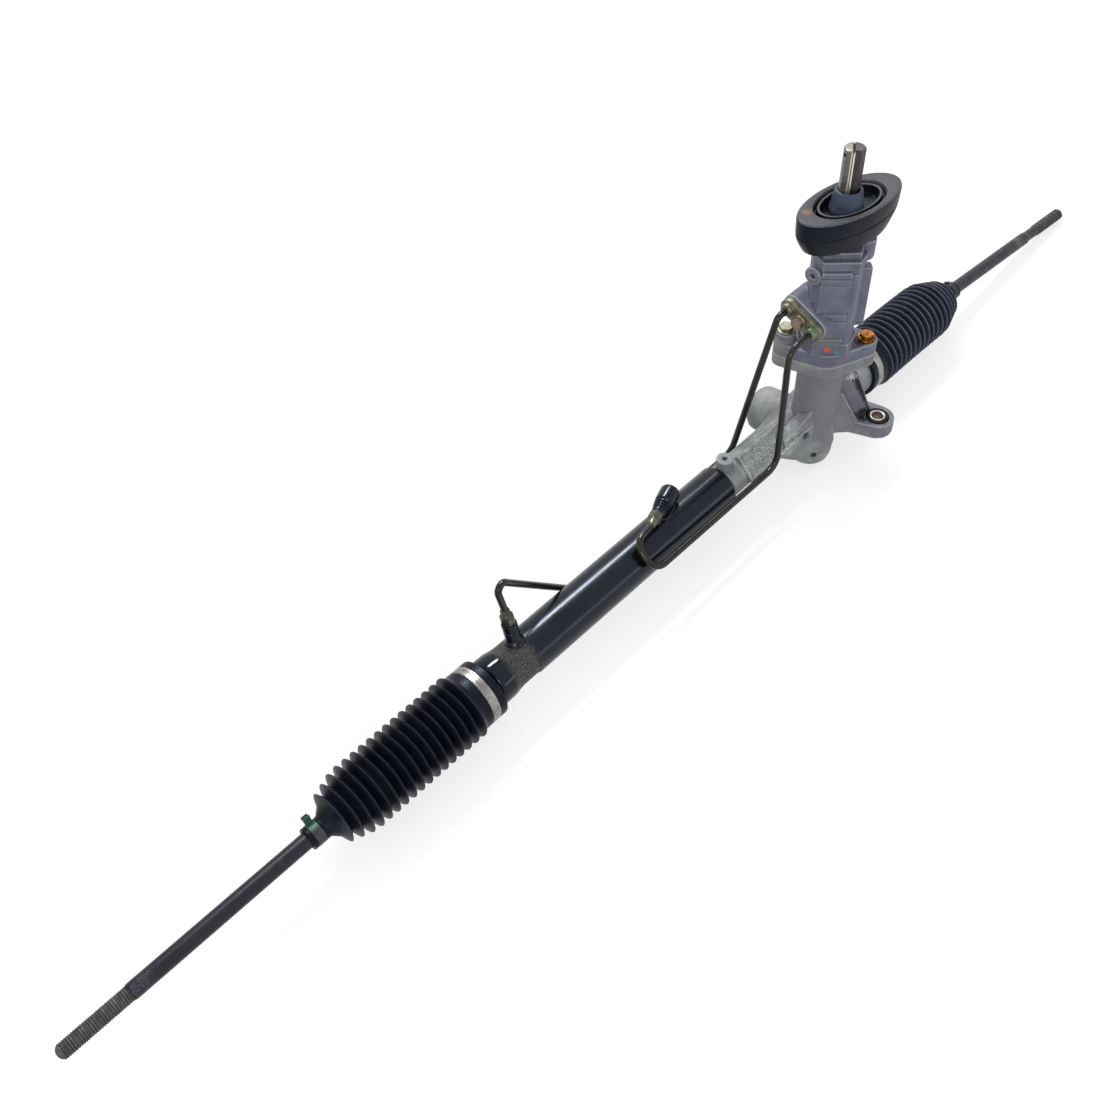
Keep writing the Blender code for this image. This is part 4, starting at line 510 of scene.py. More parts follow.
def castFinish(name, light, dark, stains, speckle, roughness=0.6):
    # the attribute bend is below 0 in hollows, which are dirty and carry a painted shade, and above 0 on
    # ridges, which are bright
    made, tree, shader = newFinish(name, metallic=0.1, specular=0.25)
    cloud = effect(tree, "mottle", {"Size": 24.0})
    grain = effect(tree, "mottle", {"Size": 5.0})
    colour = blended(cloud["Broad"], tone(*dark), tone(*light))
    colour = blended(grain["Fine"] * speckle, colour, tone(*dark), "MULTIPLY")
    colour = spotted(tree, colour, stains)
    bend = newNode(tree, "ShaderNodeAttribute", out="Fac", attribute_name="bend")
    dirtAndShade, bright = (-0.015, -0.13, 0.8, (40, 39, 42)), (0.025, 0.15, 0.5, (190, 192, 196))
    for low, high, strength, seen in (dirtAndShade, bright):
        colour = blended(ranged(bend, low, high) * strength, colour, tone(*seen))
    rough = ranged(grain["Broad"], 0, 1, roughness - 0.08, roughness + 0.1)
    dress(shader, colour, rough, grain["Height"], 0.5, 0.3)
    return made


def paintFinish(name, rustBelts, glossBelts):
    # each belt is (start, end) along X
    made, tree, shader = newFinish(name, specular=0.28, tint=coldSheen)
    cloud = effect(tree, "mottle", {"Size": 30.0})
    marks = effect(tree, "scuffs", {"Size": 16.0, "Stretch": (0.12, 1, 1), "Width": 0.006})
    dust = effect(tree, "mottle", {"Size": 2.4})
    colour = blended(cloud["Broad"], tone(10, 12, 17), tone(16, 19, 27))
    colour = blended(marks["Lines"] * 0.2, colour, tone(92, 97, 106))
    colour = blended(ranged(dust["Fine"], 0.985, 1.0, 0.0, 0.3), colour, tone(128, 130, 132))
    rough = ranged(cloud["Broad"], 0, 1, 0.18, 0.25)
    for start, end in rustBelts:
        rust = effect(tree, "belt", {"From": start, "To": end, "Soft": 7.0, "Ragged": 2.0})["Mask"]
        grain = effect(tree, "mottle", {"Size": 11.0})
        brown = blended(grain["Fine"], tone(24, 23, 25), tone(98, 91, 86))
        colour = blended(rust * 0.85, colour, brown)
        rough = rough + rust * 0.35
    for start, end in glossBelts:
        gloss = effect(tree, "belt", {"From": start, "To": end, "Soft": 3.0, "Ragged": 0.0})["Mask"]
        rough = rough - gloss * 0.13
    dress(shader, colour, rough, cloud["Height"], 0.008, 0.3)
    return made


usualMetal = {"metallic": 0.85, "size": 8.0, "stretch": (1, 1, 1), "stains": (), "blotch": 0.6}


def metalFinish(name, light, dark, roughness, others=()):
    looks = {**usualMetal, **dict(others)}
    light, dark, blotch = tone(*light), tone(*dark), looks["blotch"] / 2
    made, tree, shader = newFinish(name, metallic=looks["metallic"])
    cloud = effect(tree, "mottle", {"Size": looks["size"]})
    marks = effect(tree, "scuffs", {"Size": looks["size"] / 2, "Stretch": looks["stretch"], "Width": 0.03})
    colour = blended(ranged(cloud["Broad"], 0, 1, 0.5 - blotch, 0.5 + blotch), dark, light)
    colour = blended(cloud["Fine"] * 0.3, colour, dark)
    scratch = tuple(min(1, 1.7 * channel + 0.02) for channel in light[:3]) + (1,)
    colour = blended(marks["Lines"] * 0.4, colour, scratch)
    rough = ranged(cloud["Fine"], 0, 1, roughness - 0.06, roughness + 0.1)
    dress(shader, spotted(tree, colour, looks["stains"]), rough, cloud["Height"], 0.1, 0.12)
    return made


def rubberFinish(name, dark, light, wornAndSheen, roughness, stains=()):
    # the attribute crest runs from 0 in a fold to 1 on its edge, where the rubber is worn and carries a
    # painted highlight
    made, tree, shader = newFinish(name, specular=0.13, tint=coldSheen)
    cloud = effect(tree, "mottle", {"Size": 14.0})
    colour = blended(cloud["Broad"], tone(*dark), tone(*light))
    crest = newNode(tree, "ShaderNodeAttribute", out="Fac", attribute_name="crest")
    rubbedAndSheen = crest * ranged(cloud["Fine"], 0, 1, 0.55, 1.0)
    dusty = ranged(cloud["Fine"], 0.7, 1.0) * 0.12
    for share in (rubbedAndSheen, dusty):
        colour = blended(share, colour, tone(*wornAndSheen))
    rough = ranged(cloud["Fine"], 0, 1, roughness - 0.06, roughness + 0.1)
    dress(shader, spotted(tree, colour, stains), rough, cloud["Height"], 0.1, 0.15)
    return made


lugPlace = middleOf("bush_sleeve")
rightEar = middleOf("flange_bolt_right")
leftEar = middleOf("flange_bolt_left")
gussetEdge = [(26.5 + 1.5 * step, -37.3 - 1.45 * step, 54 - 4 * step) for step in range(11)]
panelMiddles = [(place, -12, 12) for place in (-84, -63, -42)]
castStainsAndShade = [
    ((0, pinionAxis.y - 6, 46), 60, 0.2, 16.0, (112, 113, 120), 0.85),
    ((lugPlace.x, lugPlace.y, 16), 34, 0.2, 14.0, (104, 104, 116), 0.85),
    ((*leftEar[:2], 88), 15, 0.2, 8.0, (140, 142, 138), 0.8),
    *((place, 19, 0.2, 9.0, (176, 183, 180), 0.9) for place in panelMiddles),
    *((place, 17, 2.2, 1.1, (104, 108, 112), 0.6) for place in panelMiddles),
    # dark stain and painted shade along the gusset edge and round the foot of the lug
    *((place, 6, 0.25, 6.0, (20, 20, 24), 0.9) for place in gussetEdge),
    ((lugPlace.x - 6, lugPlace.y + 9, 7), 12, 0.3, 5.0, (18, 17, 20), 0.92),
    ((lugPlace.x, lugPlace.y, 7), 13.5, 0.25, 3.0, (24, 20, 22), 0.85),
    ((24, -35, 54), 4, 1.4, 1.0, (214, 214, 218), 0.8),
    # painted shade in the two dimples, the first also tinted teal
    ((-25.8, -26.4, 11.3), 5, 0.15, 2.0, (34, 48, 52), 0.9),
    ((-14.5, -30.5, -19), 3.8, 0.15, 2.0, (26, 28, 32), 0.95),
    ((*rightEar[:2], 92), 13, 0.5, 4.0, (96, 74, 68), 0.4)]
sealStains = [((-33.5, -1.3, 241), 4.6, 0.2, 2.0, (150, 98, 88), 0.85)]
towerStains = [
    ((*leftEar[:2], 102), 16, 0.25, 8.0, (140, 142, 136), 0.8),
    ((rightEar.x - 8, rightEar.y + 2, 108), 11, 0.5, 3.0, (48, 20, 22), 0.95),
    ((14, -36, 110), 9, 0.5, 3.0, (48, 22, 24), 0.9),
    ((-18.5, -29.6, 108.7), 3.2, 0.1, 2.0, (216, 72, 54), 0.95),
    ((-12.7, -36.3, 105.4), 3.6, 0.4, 2.0, (84, 130, 132), 0.6),
    ((-26, -24, 128), 6, 0.6, 3.0, (60, 84, 60), 0.6),
    ((-20, -28, 120), 9, 0.6, 2.5, (116, 118, 100), 0.5)]
plateStains = [((-38, -22, 138), 5, 0.5, 2.0, (60, 100, 66), 0.7)]
clipStains = [((-583.5, 6, 11), 9, 0.3, 3.0, (44, 92, 76), 0.65)]
leftRodStains = [
    ((-733, -3, 5.5), 6, 0.95, 1.2, (120, 122, 140), 0.14),
    ((-742, -4, 4.5), 5, 0.95, 1.2, (120, 122, 140), 0.12)]
rightRodStains = [((401, -3, -18), 7, 0.95, 1.5, (150, 148, 150), 0.2)]
alongRod, alongShaft, alongBand = (0.15, 1, 1), (1, 1, 0.06), (1, 0.15, 0.15)

# each row is in the order that its function takes
castings = {
    "castHousing": ((160, 164, 163), (126, 129, 131), castStainsAndShade, 0.4),
    "castTower": ((118, 120, 137), (98, 100, 116), towerStains, 0.3)}
paints = {
    "cylinderPaint": ([(-396, -364)], [(-412, -390)]),
    "portPaint": ([], [])}
metals = {
    "turnedSteel": ((150, 148, 144), (96, 94, 92), 0.36),
    "sleeveSteel": ((186, 178, 172), (110, 98, 92), 0.4, {"size": 5.0}),
    "shaftSteel": ((136, 133, 126), (88, 85, 80), 0.34, {"stretch": alongShaft, "size": 6.0, "blotch": 0.5}),
    # painted shade on the shaft's flat faces and a painted highlight on its edges
    "shaftFlatShade": ((80, 77, 80), (54, 51, 55), 0.45, {"stretch": alongShaft, "blotch": 0.3}),
    "shaftEdgeHighlight": ((240, 236, 226), (206, 200, 188), 0.25, {"stretch": alongShaft, "blotch": 0.3}),
    "pipeOlive": ((54, 54, 50), (25, 25, 23), 0.16, {"metallic": 0.5, "size": 10.0, "blotch": 0.5}),
    "brownNut": ((116, 110, 101), (46, 43, 40), 0.36, {"size": 5.0}),
    "greyNut": ((116, 114, 106), (64, 62, 57), 0.36),
    "yellowZinc": ((138, 135, 117), (80, 78, 66), 0.52, {"size": 5.0, "stains": plateStains}),
    "plateBolt": ((168, 152, 140), (104, 90, 80), 0.42, {"size": 5.0}),
    "rustyZinc": ((176, 116, 44), (70, 38, 22), 0.52, {"size": 4.0, "blotch": 1.0}),
    "bandSteel": ((164, 163, 160), (110, 109, 106), 0.36, {"stretch": alongBand}),
    "greenClip": ((72, 75, 76), (42, 44, 46), 0.42, {"metallic": 0.5, "stains": clipStains}),
    "clipSteel": ((50, 50, 54), (28, 28, 31), 0.5, {"metallic": 0.3}),
    "leftRodSteel": ((34, 36, 46), (18, 19, 26), 0.34, {
        "metallic": 0.3, "size": 12.0, "stretch": alongRod, "stains": leftRodStains, "blotch": 0.4}),
    "rightRodSteel": ((56, 57, 64), (28, 29, 36), 0.44, {
        "metallic": 0.3, "size": 7.0, "stretch": alongRod, "stains": rightRodStains, "blotch": 0.7}),
    "leftThread": ((96, 94, 91), (52, 50, 48), 0.56, {"metallic": 0.2}),
    "rightThread": ((78, 77, 72), (42, 41, 38), 0.58, {"metallic": 0.2, "blotch": 0.5}),
    # painted shade for the roots between the thread's ridges
    "threadRoot": ((22, 21, 22), (13, 12, 13), 0.6, {"metallic": 0.2}),
    "paleResin": ((206, 200, 186), (176, 170, 156), 0.5, {"metallic": 0.0}),
    "bushBronze": ((184, 146, 92), (132, 98, 58), 0.36)}
rubbers = {
    "leftRubber": ((9, 11, 17), (18, 21, 31), (58, 62, 74), 0.38),
    "rightRubber": ((14, 16, 25), (24, 27, 40), (112, 118, 134), 0.4),
    "sealRubber": ((8, 11, 17), (14, 18, 26), (96, 97, 102), 0.4, sealStains),
    "collarRubber": ((54, 61, 77), (70, 78, 95), (104, 110, 124), 0.46),
    "bushRubber": ((18, 16, 16), (32, 28, 26), (82, 66, 58), 0.55)}
finishes = {}
for makeFinish, table in (
        (castFinish, castings), (paintFinish, paints), (metalFinish, metals), (rubberFinish, rubbers)):
    for name, looks in table.items():
        finishes[name] = makeFinish(name, *looks)
print("finishes made:", len(finishes))


# Castings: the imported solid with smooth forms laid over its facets, fused, softened and marked

def pointsOf(mesh, what="co"):
    values = np.empty(len(mesh.vertices) * 3)
    mesh.vertices.foreach_get(what, values)
    return values.reshape(-1, 3)


def movePoints(mesh, points):
    mesh.vertices.foreach_set("co", points.ravel())
    mesh.update()


def markPoints(mesh, name, values):
    mesh.attributes.new(name, "FLOAT", "POINT").data.foreach_set("value", values)


def markBends(mesh, passes=2):
    # how far each place stands out from its neighbours: ridges above 0, hollows below
    count = len(mesh.vertices)
    points = pointsOf(mesh)
    ends = np.empty(len(mesh.edges) * 2, int)
    mesh.edges.foreach_get("vertices", ends)
    first, second = ends.reshape(-1, 2).T
    away = points[second] - points[first]
    reach = np.linalg.norm(away, axis=1)
    pull = np.zeros((count, 3))
    np.add.at(pull, first, away)
    np.add.at(pull, second, -away)
    total = np.bincount(first, reach, count) + np.bincount(second, reach, count)
    bend = -(pull * pointsOf(mesh, "normal")).sum(axis=1) / np.maximum(total, 1e-6)
    near = np.bincount(first, minlength=count) + np.bincount(second, minlength=count)
    for _ in range(passes):
        around = np.bincount(first, bend[second], count) + np.bincount(second, bend[first], count)
        bend = 0.5 * bend + 0.5 * around / np.maximum(near, 1)
    markPoints(mesh, "bend", bend)


def castSkin(name, node, overlays, sizes):
    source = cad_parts[node].data.copy()
    source.transform(Matrix.Scale(1 / mm, 4))
    body = holder(name, joined(name, weld(source), *overlays))
    fuse = body.modifiers.new("fuse", "REMESH")
    fuse.mode = "VOXEL"
    fuse.voxel_size = sizes["voxel"]
    soften = body.modifiers.new("soften", "SMOOTH")
    soften.factor = 0.5
    soften.iterations = sizes["softening"]
    body.data = evaluated(body)
    body.modifiers.clear()
    body.data.calc_loop_triangles()
    thin = body.modifiers.new("thin", "DECIMATE")
    thin.ratio = min(1, sizes["triangles"] / len(body.data.loop_triangles))
    mesh = evaluated(body)
    bpy.data.objects.remove(body)
    points = pointsOf(mesh)
    normals = pointsOf(mesh, "normal")
    for place, radius, depth in sizes["dimples"]:
        away = np.linalg.norm(points - np.array(place), axis=1)
        points -= normals * (depth * np.clip(1 - (away / radius) ** 2, 0, 1) ** 2)[:, None]
    lumps = np.array([noise.noise(Vector(point) / sizes["lumpSize"]) for point in points])
    movePoints(mesh, points + normals * (sizes["lumpHeight"] * lumps)[:, None])
    markBends(mesh)
    print(name, "has", len(mesh.polygons), "faces")
    return mesh


def bore(radius, low, high, matrix=Matrix(), sides=64):
    rows = [(low, 0, 0), (low, radius, 0), (high, radius, 0), (high, 0, 0)]
    return placed(turned("bore", rows, False, sides), matrix)


def twoEars(middleRadius, earRadius, spacing, direction):
    lean = math.acos((middleRadius - earRadius) / spacing)
    points = []
    for side in (0, math.pi):
        ahead = direction + side
        earX = pinionAxis.x + spacing * math.cos(ahead)
        earY = pinionAxis.y + spacing * math.sin(ahead)
        points += arc(earX, earY, earRadius, ahead - lean, ahead + lean, 24)
        points += arc(pinionAxis.x, pinionAxis.y, middleRadius, ahead + lean, ahead + math.pi - lean, 20)
    return points


flange = {"radius": 25, "earRadius": 9.5, "spacing": 35, "direction": math.radians(-49), "bottom": 78,
          "joint": 90, "top": 103, "edge": 1.3, "boltHole": 4.3, "bossTop": 112}
earAxes = [shift(ear.x, ear.y, 0) for ear in (leftEar, rightEar)]
onPinion = shift(*pinionAxis)
onFlange = onPinion @ Matrix.Rotation(flange["direction"], 4, "Z")
flangeOutline = twoEars(flange["radius"], flange["earRadius"], flange["spacing"], flange["direction"])
earHoles = (flange["bottom"] - 5, flange["bossTop"] + 5)

housing = {"voxel": 0.65, "softening": 5, "triangles": 190000, "lumpSize": 11, "lumpHeight": 0.12,
           "dimples": (((-25.8, -26.4, 11.3), 5.2, 2.4), ((-14.5, -30.5, -19), 4.4, 2.4)),
           "tubeRadius": 16.5, "tubeFrom": -42, "swellRadius": 20.5, "swellFrom": -18, "rightRadius": 23,
           "rightFrom": 22, "rightBore": 18.8, "rightBoreFrom": 66, "rackWay": 13, "rackWayEnd": 70,
           "barrelRadius": 20.5, "barrelBore": 17.4, "barrelTop": 79, "footRadius": 18, "foot": -33,
           "pinionWay": 11.4, "pinionWayEnds": (-11, 68), "upperSeat": 16.3, "upperSeatEnds": (63, 95),
           "yokeX": -6, "yokeTilt": -8, "yokeRadius": 21.5, "yokeEnd": 41.5, "yokeBore": 15.6,
           "yokeWay": 15, "yokeWayEnd": 50, "lugRadius": 15.5, "lugRoot": (28, -8, 19), "lugWay": 11,
           "lugWayEnds": (-12, 80), "railFoot": 14, "railTop": 18.3,
           "rails": ((-96, -34, -13.8, -10.4), (-96, -34, 11, 13.8), (-97, -94, -13, 13)),
           "bossPlace": (-109.5, 2), "bossRadius": 7.5, "bossFoot": 14.5, "bossTop": 27, "bossHole": 2.5}
onYoke = shift(housing["yokeX"], 0, 0) @ spun(-90 + housing["yokeTilt"], "X")


def lugOutline():
    rootX, rootY, rootRadius = housing["lugRoot"]
    along = math.atan2(lugPlace.y - rootY, lugPlace.x - rootX)
    lean = math.acos((rootRadius - housing["lugRadius"]) / math.hypot(lugPlace.x - rootX, lugPlace.y - rootY))
    outline = arc(lugPlace.x, lugPlace.y, housing["lugRadius"], along - lean, along + lean, 32)
    return outline + arc(rootX, rootY, rootRadius, along + lean, along + 2 * math.pi - lean, 32)


def panelRail(start, end, low, high):
    # a raised edge on the sloping panel, low and high being its sides as seen from the front
    foot, top = housing["railFoot"], housing["railTop"]
    corners = ((low, foot), (high, foot), (high, top), (low, top))
    half = math.sqrt(0.5)
    outline = [(-half * (across + out), half * (across - out)) for across, out in corners]
    return placed(prism("rail", outline, start, end), alongX)


def makeHousing():
    low, high = boxOf("rack_housing")
    cylinderEnd = boxOf("cylinder_tube")[1].x + 0.3
    rackWay = bore(housing["rackWay"], low.x, housing["rackWayEnd"], alongX)
    pinionWay = bore(housing["pinionWay"], *housing["pinionWayEnds"], onPinion)
    yokeWay = bore(housing["yokeWay"], 0, housing["yokeWayEnd"], onYoke)
    upperSeat = bore(housing["upperSeat"], *housing["upperSeatEnds"], onPinion)
    lugWay = bore(housing["lugWay"], *housing["lugWayEnds"], shift(lugPlace.x, lugPlace.y, 0))
    earWays = [bore(flange["boltHole"], *earHoles, axis, 32) for axis in earAxes]
    wall = housing["rackWay"] + 1.2
    tubes = placed(turned("tubes", [
        (high.x, housing["rightBore"], 0), (high.x, housing["rightRadius"], 1.2),
        (housing["rightFrom"], housing["rightRadius"], 14),
        (housing["swellFrom"], housing["swellRadius"], 16),
        (housing["tubeFrom"], housing["tubeRadius"], 12), (cylinderEnd, housing["tubeRadius"], 0.6),
        (cylinderEnd, wall, 0), (housing["rightBoreFrom"], wall, 0),
        (housing["rightBoreFrom"], housing["rightBore"], 0)], sides=160), alongX)
    radius, inner, top, foot = (housing[key] for key in ("barrelRadius", "barrelBore", "barrelTop", "foot"))
    barrel = placed(turned("barrel", [
        (top, inner, 0), (top, radius, 0), (-11, radius, 1), (-12, radius + 0.9, 1), (-15, radius + 0.9, 1),
        (-16, radius, 1), (-25, radius, 3), (foot, housing["footRadius"], 1.5), (foot, 16, 0),
        (-24, inner, 0)], sides=160), onPinion)
    ears = prism("ears", flangeOutline, flange["bottom"], flange["joint"], flange["edge"])
    end, radius, inner = housing["yokeEnd"], housing["yokeRadius"], housing["yokeBore"]
    rows = [(end, inner, 0), (end, 18.2, 1), (end - 4, radius, 3), (5, radius, 0), (5, inner, 0)]
    yokeBoss = placed(turned("yokeBoss", rows, sides=160), onYoke)
    lugLow, lugHigh = boxOf("bush_rubber")
    arm = prism("arm", lugOutline(), lugLow.z, lugHigh.z, 1.8)
    top, foot, radius, hole = (housing["boss" + key] for key in ("Top", "Foot", "Radius", "Hole"))
    boss = placed(turned("boss", [
        (top, hole, 0.6), (top, radius, 1.3), (foot, radius + 0.2, 0), (foot, hole, 0)], sides=64),
        shift(*housing["bossPlace"], 0))
    rails = [panelRail(*rail) for rail in housing["rails"]]
    overlays = [
        carved(tubes, pinionWay, yokeWay), carved(barrel, rackWay), carved(ears, upperSeat, *earWays),
        carved(yokeBoss, rackWay), carved(arm, lugWay, rackWay), boss, *rails]
    mesh = castSkin("castHousing", "rack_housing", overlays, housing)
    piece("castHousing", mesh, "castHousing", "housing", "rack_housing", 60)


tower = {"voxel": 0.6, "softening": 5, "triangles": 180000, "lumpSize": 9, "lumpHeight": 0.1, "dimples": (),
         "bodyRadius": 20.5, "flatHalf": 15, "sideHalf": 9, "shoulder": 197, "rimHeight": 8, "rimOut": 1.6,
         "neckRadius": 13.5, "neckBore": 10.5, "valveBore": 16.3, "boreTop": 186.9, "earPad": 8.6,
         "lobeRadius": 9, "lobeDistance": 20.5, "lobeDirection": -40, "lobeTop": 205, "lobeHeight": 22,
         "bossFace": -28, "bossFoot": 17, "bossPlace": (-11, 181), "bossRadius": 7.8, "bossHole": 2.5,
         "stepLeft": -15, "stepRight": 9.3,
         "steps": ((104, 187, 1.1), (104, 119, 2), (120.8, 137, 1.6), (139.4, 144.6, 2), (147.4, 174, 1.5),
                   (176, 180, 1.9), (182.2, 187, 2.3)),
         "plateFace": -30, "platePlace": (-10, 140), "plateTilt": 25, "plateSpacing": 14.2,
         "plateRadius": 8.2, "padDepth": 13}


def plateFrame():
    face = Matrix(((0, 0, -1, 0), (-1, 0, 0, 0), (0, 1, 0, 0), (0, 0, 0, 1)))
    lean = spun(-tower["plateTilt"])
    return shift(tower["plateFace"], *tower["platePlace"]) @ face @ lean


def towerSection(name, low, high, grow, edge):
    out = tower["bodyRadius"] + grow
    corner = math.atan2(tower["sideHalf"], out)
    outline = [(out, -tower["sideHalf"])]
    outline += arc(0, 0, math.hypot(out, tower["sideHalf"]), corner, math.pi - corner, 40)
    outline += [(-out, -tower["sideHalf"]), (-tower["flatHalf"], -out), (tower["flatHalf"], -out)]
    return placed(prism(name, outline, low, high, edge), onFlange)


def frontStep(low, high, out):
    # one of the shallow cast steps on the flat that faces front and left
    face = -tower["bodyRadius"]
    sides = (tower["stepLeft"], tower["stepRight"])
    outline = [(sides[0], face + 1), (sides[0], face - out), (sides[1], face - out), (sides[1], face + 1)]
    return placed(prism("step", outline, low, high), onFlange)


def openBore(mesh):
    # after the softening the bore is opened again, so that the valve sleeve turns freely in it
    points = pointsOf(mesh)
    away = points[:, :2] - np.array(pinionAxis[:2])
    radius = np.linalg.norm(away, axis=1)
    tight = (points[:, 2] < tower["boreTop"] - 2) & (radius < tower["valveBore"])
    points[tight, :2] += away[tight] * (tower["valveBore"] / radius[tight] - 1)[:, None]
    movePoints(mesh, points)
    return mesh


def makeTower():
    low, high = boxOf("valve_housing")
    valveWay = bore(tower["valveBore"], low.z - 5, tower["boreTop"], onPinion)
    neckWay = bore(tower["neckBore"], low.z, high.z + 5, onPinion)
    earWays = [bore(flange["boltHole"], *earHoles, axis, 32) for axis in earAxes]
    ears = carved(prism("ears", flangeOutline, low.z, flange["top"], flange["edge"]), valveWay, *earWays)
    shoulder = tower["shoulder"]
    body = carved(towerSection("body", flange["top"] - 2, shoulder - 1, 0, 0), valveWay, neckWay)
    rim = carved(towerSection("rim", shoulder - tower["rimHeight"], shoulder, tower["rimOut"], 1), neckWay)
    radius, hole = tower["neckRadius"], tower["neckBore"]
    rows = [(high.z, hole, 0), (high.z, radius, 1), (shoulder - 5, radius, 0), (shoulder - 5, hole, 0)]
    neck = placed(turned("neck", rows), onPinion)
    turn, away = math.radians(tower["lobeDirection"]), tower["lobeDistance"]
    top, radius = tower["lobeTop"], tower["lobeRadius"]
    foot = top - tower["lobeHeight"]
    rows = [(top, 0, 0), (top, radius, 1.5), (foot + 4.5, radius, 2), (foot, radius / 2, 1), (foot, 0, 0)]
    lobeAxis = onPinion @ shift(away * math.cos(turn), away * math.sin(turn), 0)
    lobe = placed(turned("lobe", rows, False, 64), lobeAxis)
    face, foot, radius, hole = -tower["bossFace"], tower["bossFoot"], tower["bossRadius"], tower["bossHole"]
    boss = placed(turned("boss", [
        (face, hole, 0.8), (face, radius, 1.4), (foot, radius + 0.4, 0), (foot, hole, 0)], sides=64),
        shift(0, *tower["bossPlace"]) @ againstX)
    padOutline = stadium(tower["plateSpacing"], tower["plateRadius"] + 1)
    pad = placed(prism("pad", padOutline, -tower["padDepth"], 0, 1), plateFrame())
    radius, hole, foot = tower["earPad"], flange["boltHole"], flange["top"] - 4
    pads = []
    for face, axis in zip((flange["bossTop"] + 0.2, flange["top"] + 0.2), earAxes):
        rows = [(face, hole, 0), (face, radius, 0.6), (foot, radius + 0.5, 0), (foot, hole, 0)]
        pads.append(placed(turned("earPad", rows, sides=64), axis))
    mesh = castSkin("castTower", "valve_housing", [
        ears, body, rim, neck, lobe, boss, pad, *pads, *(frontStep(*step) for step in tower["steps"])], tower)
    piece("castTower", openBore(mesh), "castTower", "housing", "valve_housing", 60)


makeHousing()
makeTower()
print("castings done")


# Power cylinder, its end ring, ports and nuts

cylinder = {"bore": 17.6, "radius": 20, "endRadius": 19.2, "stubRadius": 19, "shoulder": -368,
            "beadStart": -387, "beadEnd": -409, "beadRadius": 21, "ringBore": 19.3, "ringRadius": 21.5,
            "portLean": 14, "portRadius": 6.5, "portTop": 38, "nutRadius": 6.3, "nutLength": 9,
            "nutNeck": 5, "midPort": (-186, 7, 27.5), "midTurn": 197.5, "midRadius": 7.8, "midHalf": 15.5,
            "midRidges": 4, "ridgeStart": 2.4, "ridgePitch": 2.6, "ridgeFall": 0.18}


def makeCylinder():
    low, high = boxOf("cylinder_tube")
    hole, radius, stub, bead = (cylinder[key] for key in ("bore", "radius", "stubRadius", "beadRadius"))
    shoulder, beadStart, beadEnd = cylinder["shoulder"], cylinder["beadStart"], cylinder["beadEnd"]
    tube = turned("powerCylinder", [
        (high.x, hole, 0.2), (high.x, cylinder["endRadius"], 0.6), (high.x - 1.2, radius, 0.8),
        (shoulder + 2, radius, 1.5), (shoulder, stub, 1.5), (beadStart, stub, 4), (beadStart - 8, bead, 4),
        (beadEnd + 3, bead, 2), (beadEnd, stub, 1), (low.x, stub, 0.5), (low.x, hole, 0.2)], sides=192)
    piece("powerCylinder", placed(tube, alongX), "cylinderPaint", "housing", "cylinder_tube")
    low, high = boxOf("cylinder_end_ring")
    hole, radius = cylinder["ringBore"], cylinder["ringRadius"]
    rows = [(low.x, hole, 0.3), (low.x, radius, 0.6), (high.x, radius, 0.8), (high.x, hole, 0.3)]
    ring = placed(turned("endRing", rows), alongX)
    piece("endRing", ring, "portPaint", "housing", "cylinder_end_ring")


leftPort = Vector((middleOf("port_boss_left").x, 0, 0))
onLeftPort = shift(*leftPort) @ spun(-cylinder["portLean"], "X")
onMidPort = shift(*cylinder["midPort"]) @ spun(cylinder["midTurn"]) @ alongX


def tubeNut(name, matrix, start, looks, node):
    end = start + cylinder["nutLength"]
    neck = cylinder["nutNeck"]
    head = hexHead(name, cylinder["nutRadius"], start, end - 1.5)
    stem = turned(name, [
        (start, 0, 0), (start, neck, 0.3), (end - 0.4, neck, 0.5), (end, 4.2, 0.4), (end + 4.5, 3.9, 0.6),
        (end + 5, 3.1, 0), (end + 5, 0, 0)], False, 48)
    piece(name, placed(joined(name, head, stem), matrix), looks, "housing", node, 30)


def makePorts():
    top = cylinder["portTop"]
    radius = cylinder["portRadius"]
    port = turned("leftPort", [
        (15, 0, 0), (16.5, 9.2, 0), (19.5, 8.6, 1.4), (22.5, radius, 1.6), (top - 8, radius, 0.4),
        (top - 7.4, radius - 0.5, 0.3), (top - 6.4, radius - 0.5, 0.3), (top - 5.8, radius, 0.4),
        (top, radius, 0.7), (top, 0, 0)], False, 96)
    piece("leftPort", placed(port, onLeftPort), "portPaint", "housing", "port_boss_left")
    tubeNut("leftTubeNut", onLeftPort, top + 0.3, "brownNut", "tube_nut_left")
    half = cylinder["midHalf"]
    wide = cylinder["midRadius"]
    outline = [(-half, 0, 0), (-half, wide - 0.5, 1.5), (2.5 - half, wide + 1.2, 1.5), (1, wide + 0.6, 1)]
    for ridge in range(cylinder["midRidges"]):
        start = cylinder["ridgeStart"] + ridge * cylinder["ridgePitch"]
        slim = cylinder["ridgeFall"] * start
        outline += [(start, wide - 0.5 - slim, 0.3), (start + 0.9, wide - 0.5 - slim, 0.3),
                    (start + 1.3, wide + 0.4 - slim, 0.3), (start + 2.2, wide + 0.4 - slim, 0.3)]
    outline += [(half, wide - 2.2, 0.8), (half, 0, 0)]
    body = placed(turned("midPort", outline, False, 96), onMidPort)
    x, y, z = cylinder["midPort"]
    turn = spun(cylinder["midTurn"])
    foot = placed(prism("midFoot", stadium(5.5, 5.6), 14, z, 0.5), shift(x, y, 0) @ turn)
    weldBead = placed(prism("midWeld", stadium(6.5, 7), 12, 20.8, 1.5), shift(x, y - 1.5, 0) @ turn)
    mesh = joined("midPort", body, foot, weldBead)
    piece("midPort", mesh, "portPaint", "housing", "port_boss_mid")
    tubeNut("midTubeNut", onMidPort, half + 0.3, "greyNut", "tube_nut_mid")


makeCylinder()
makePorts()
print("cylinder and ports done")


# Pipes, the plate that clamps them, and bolts

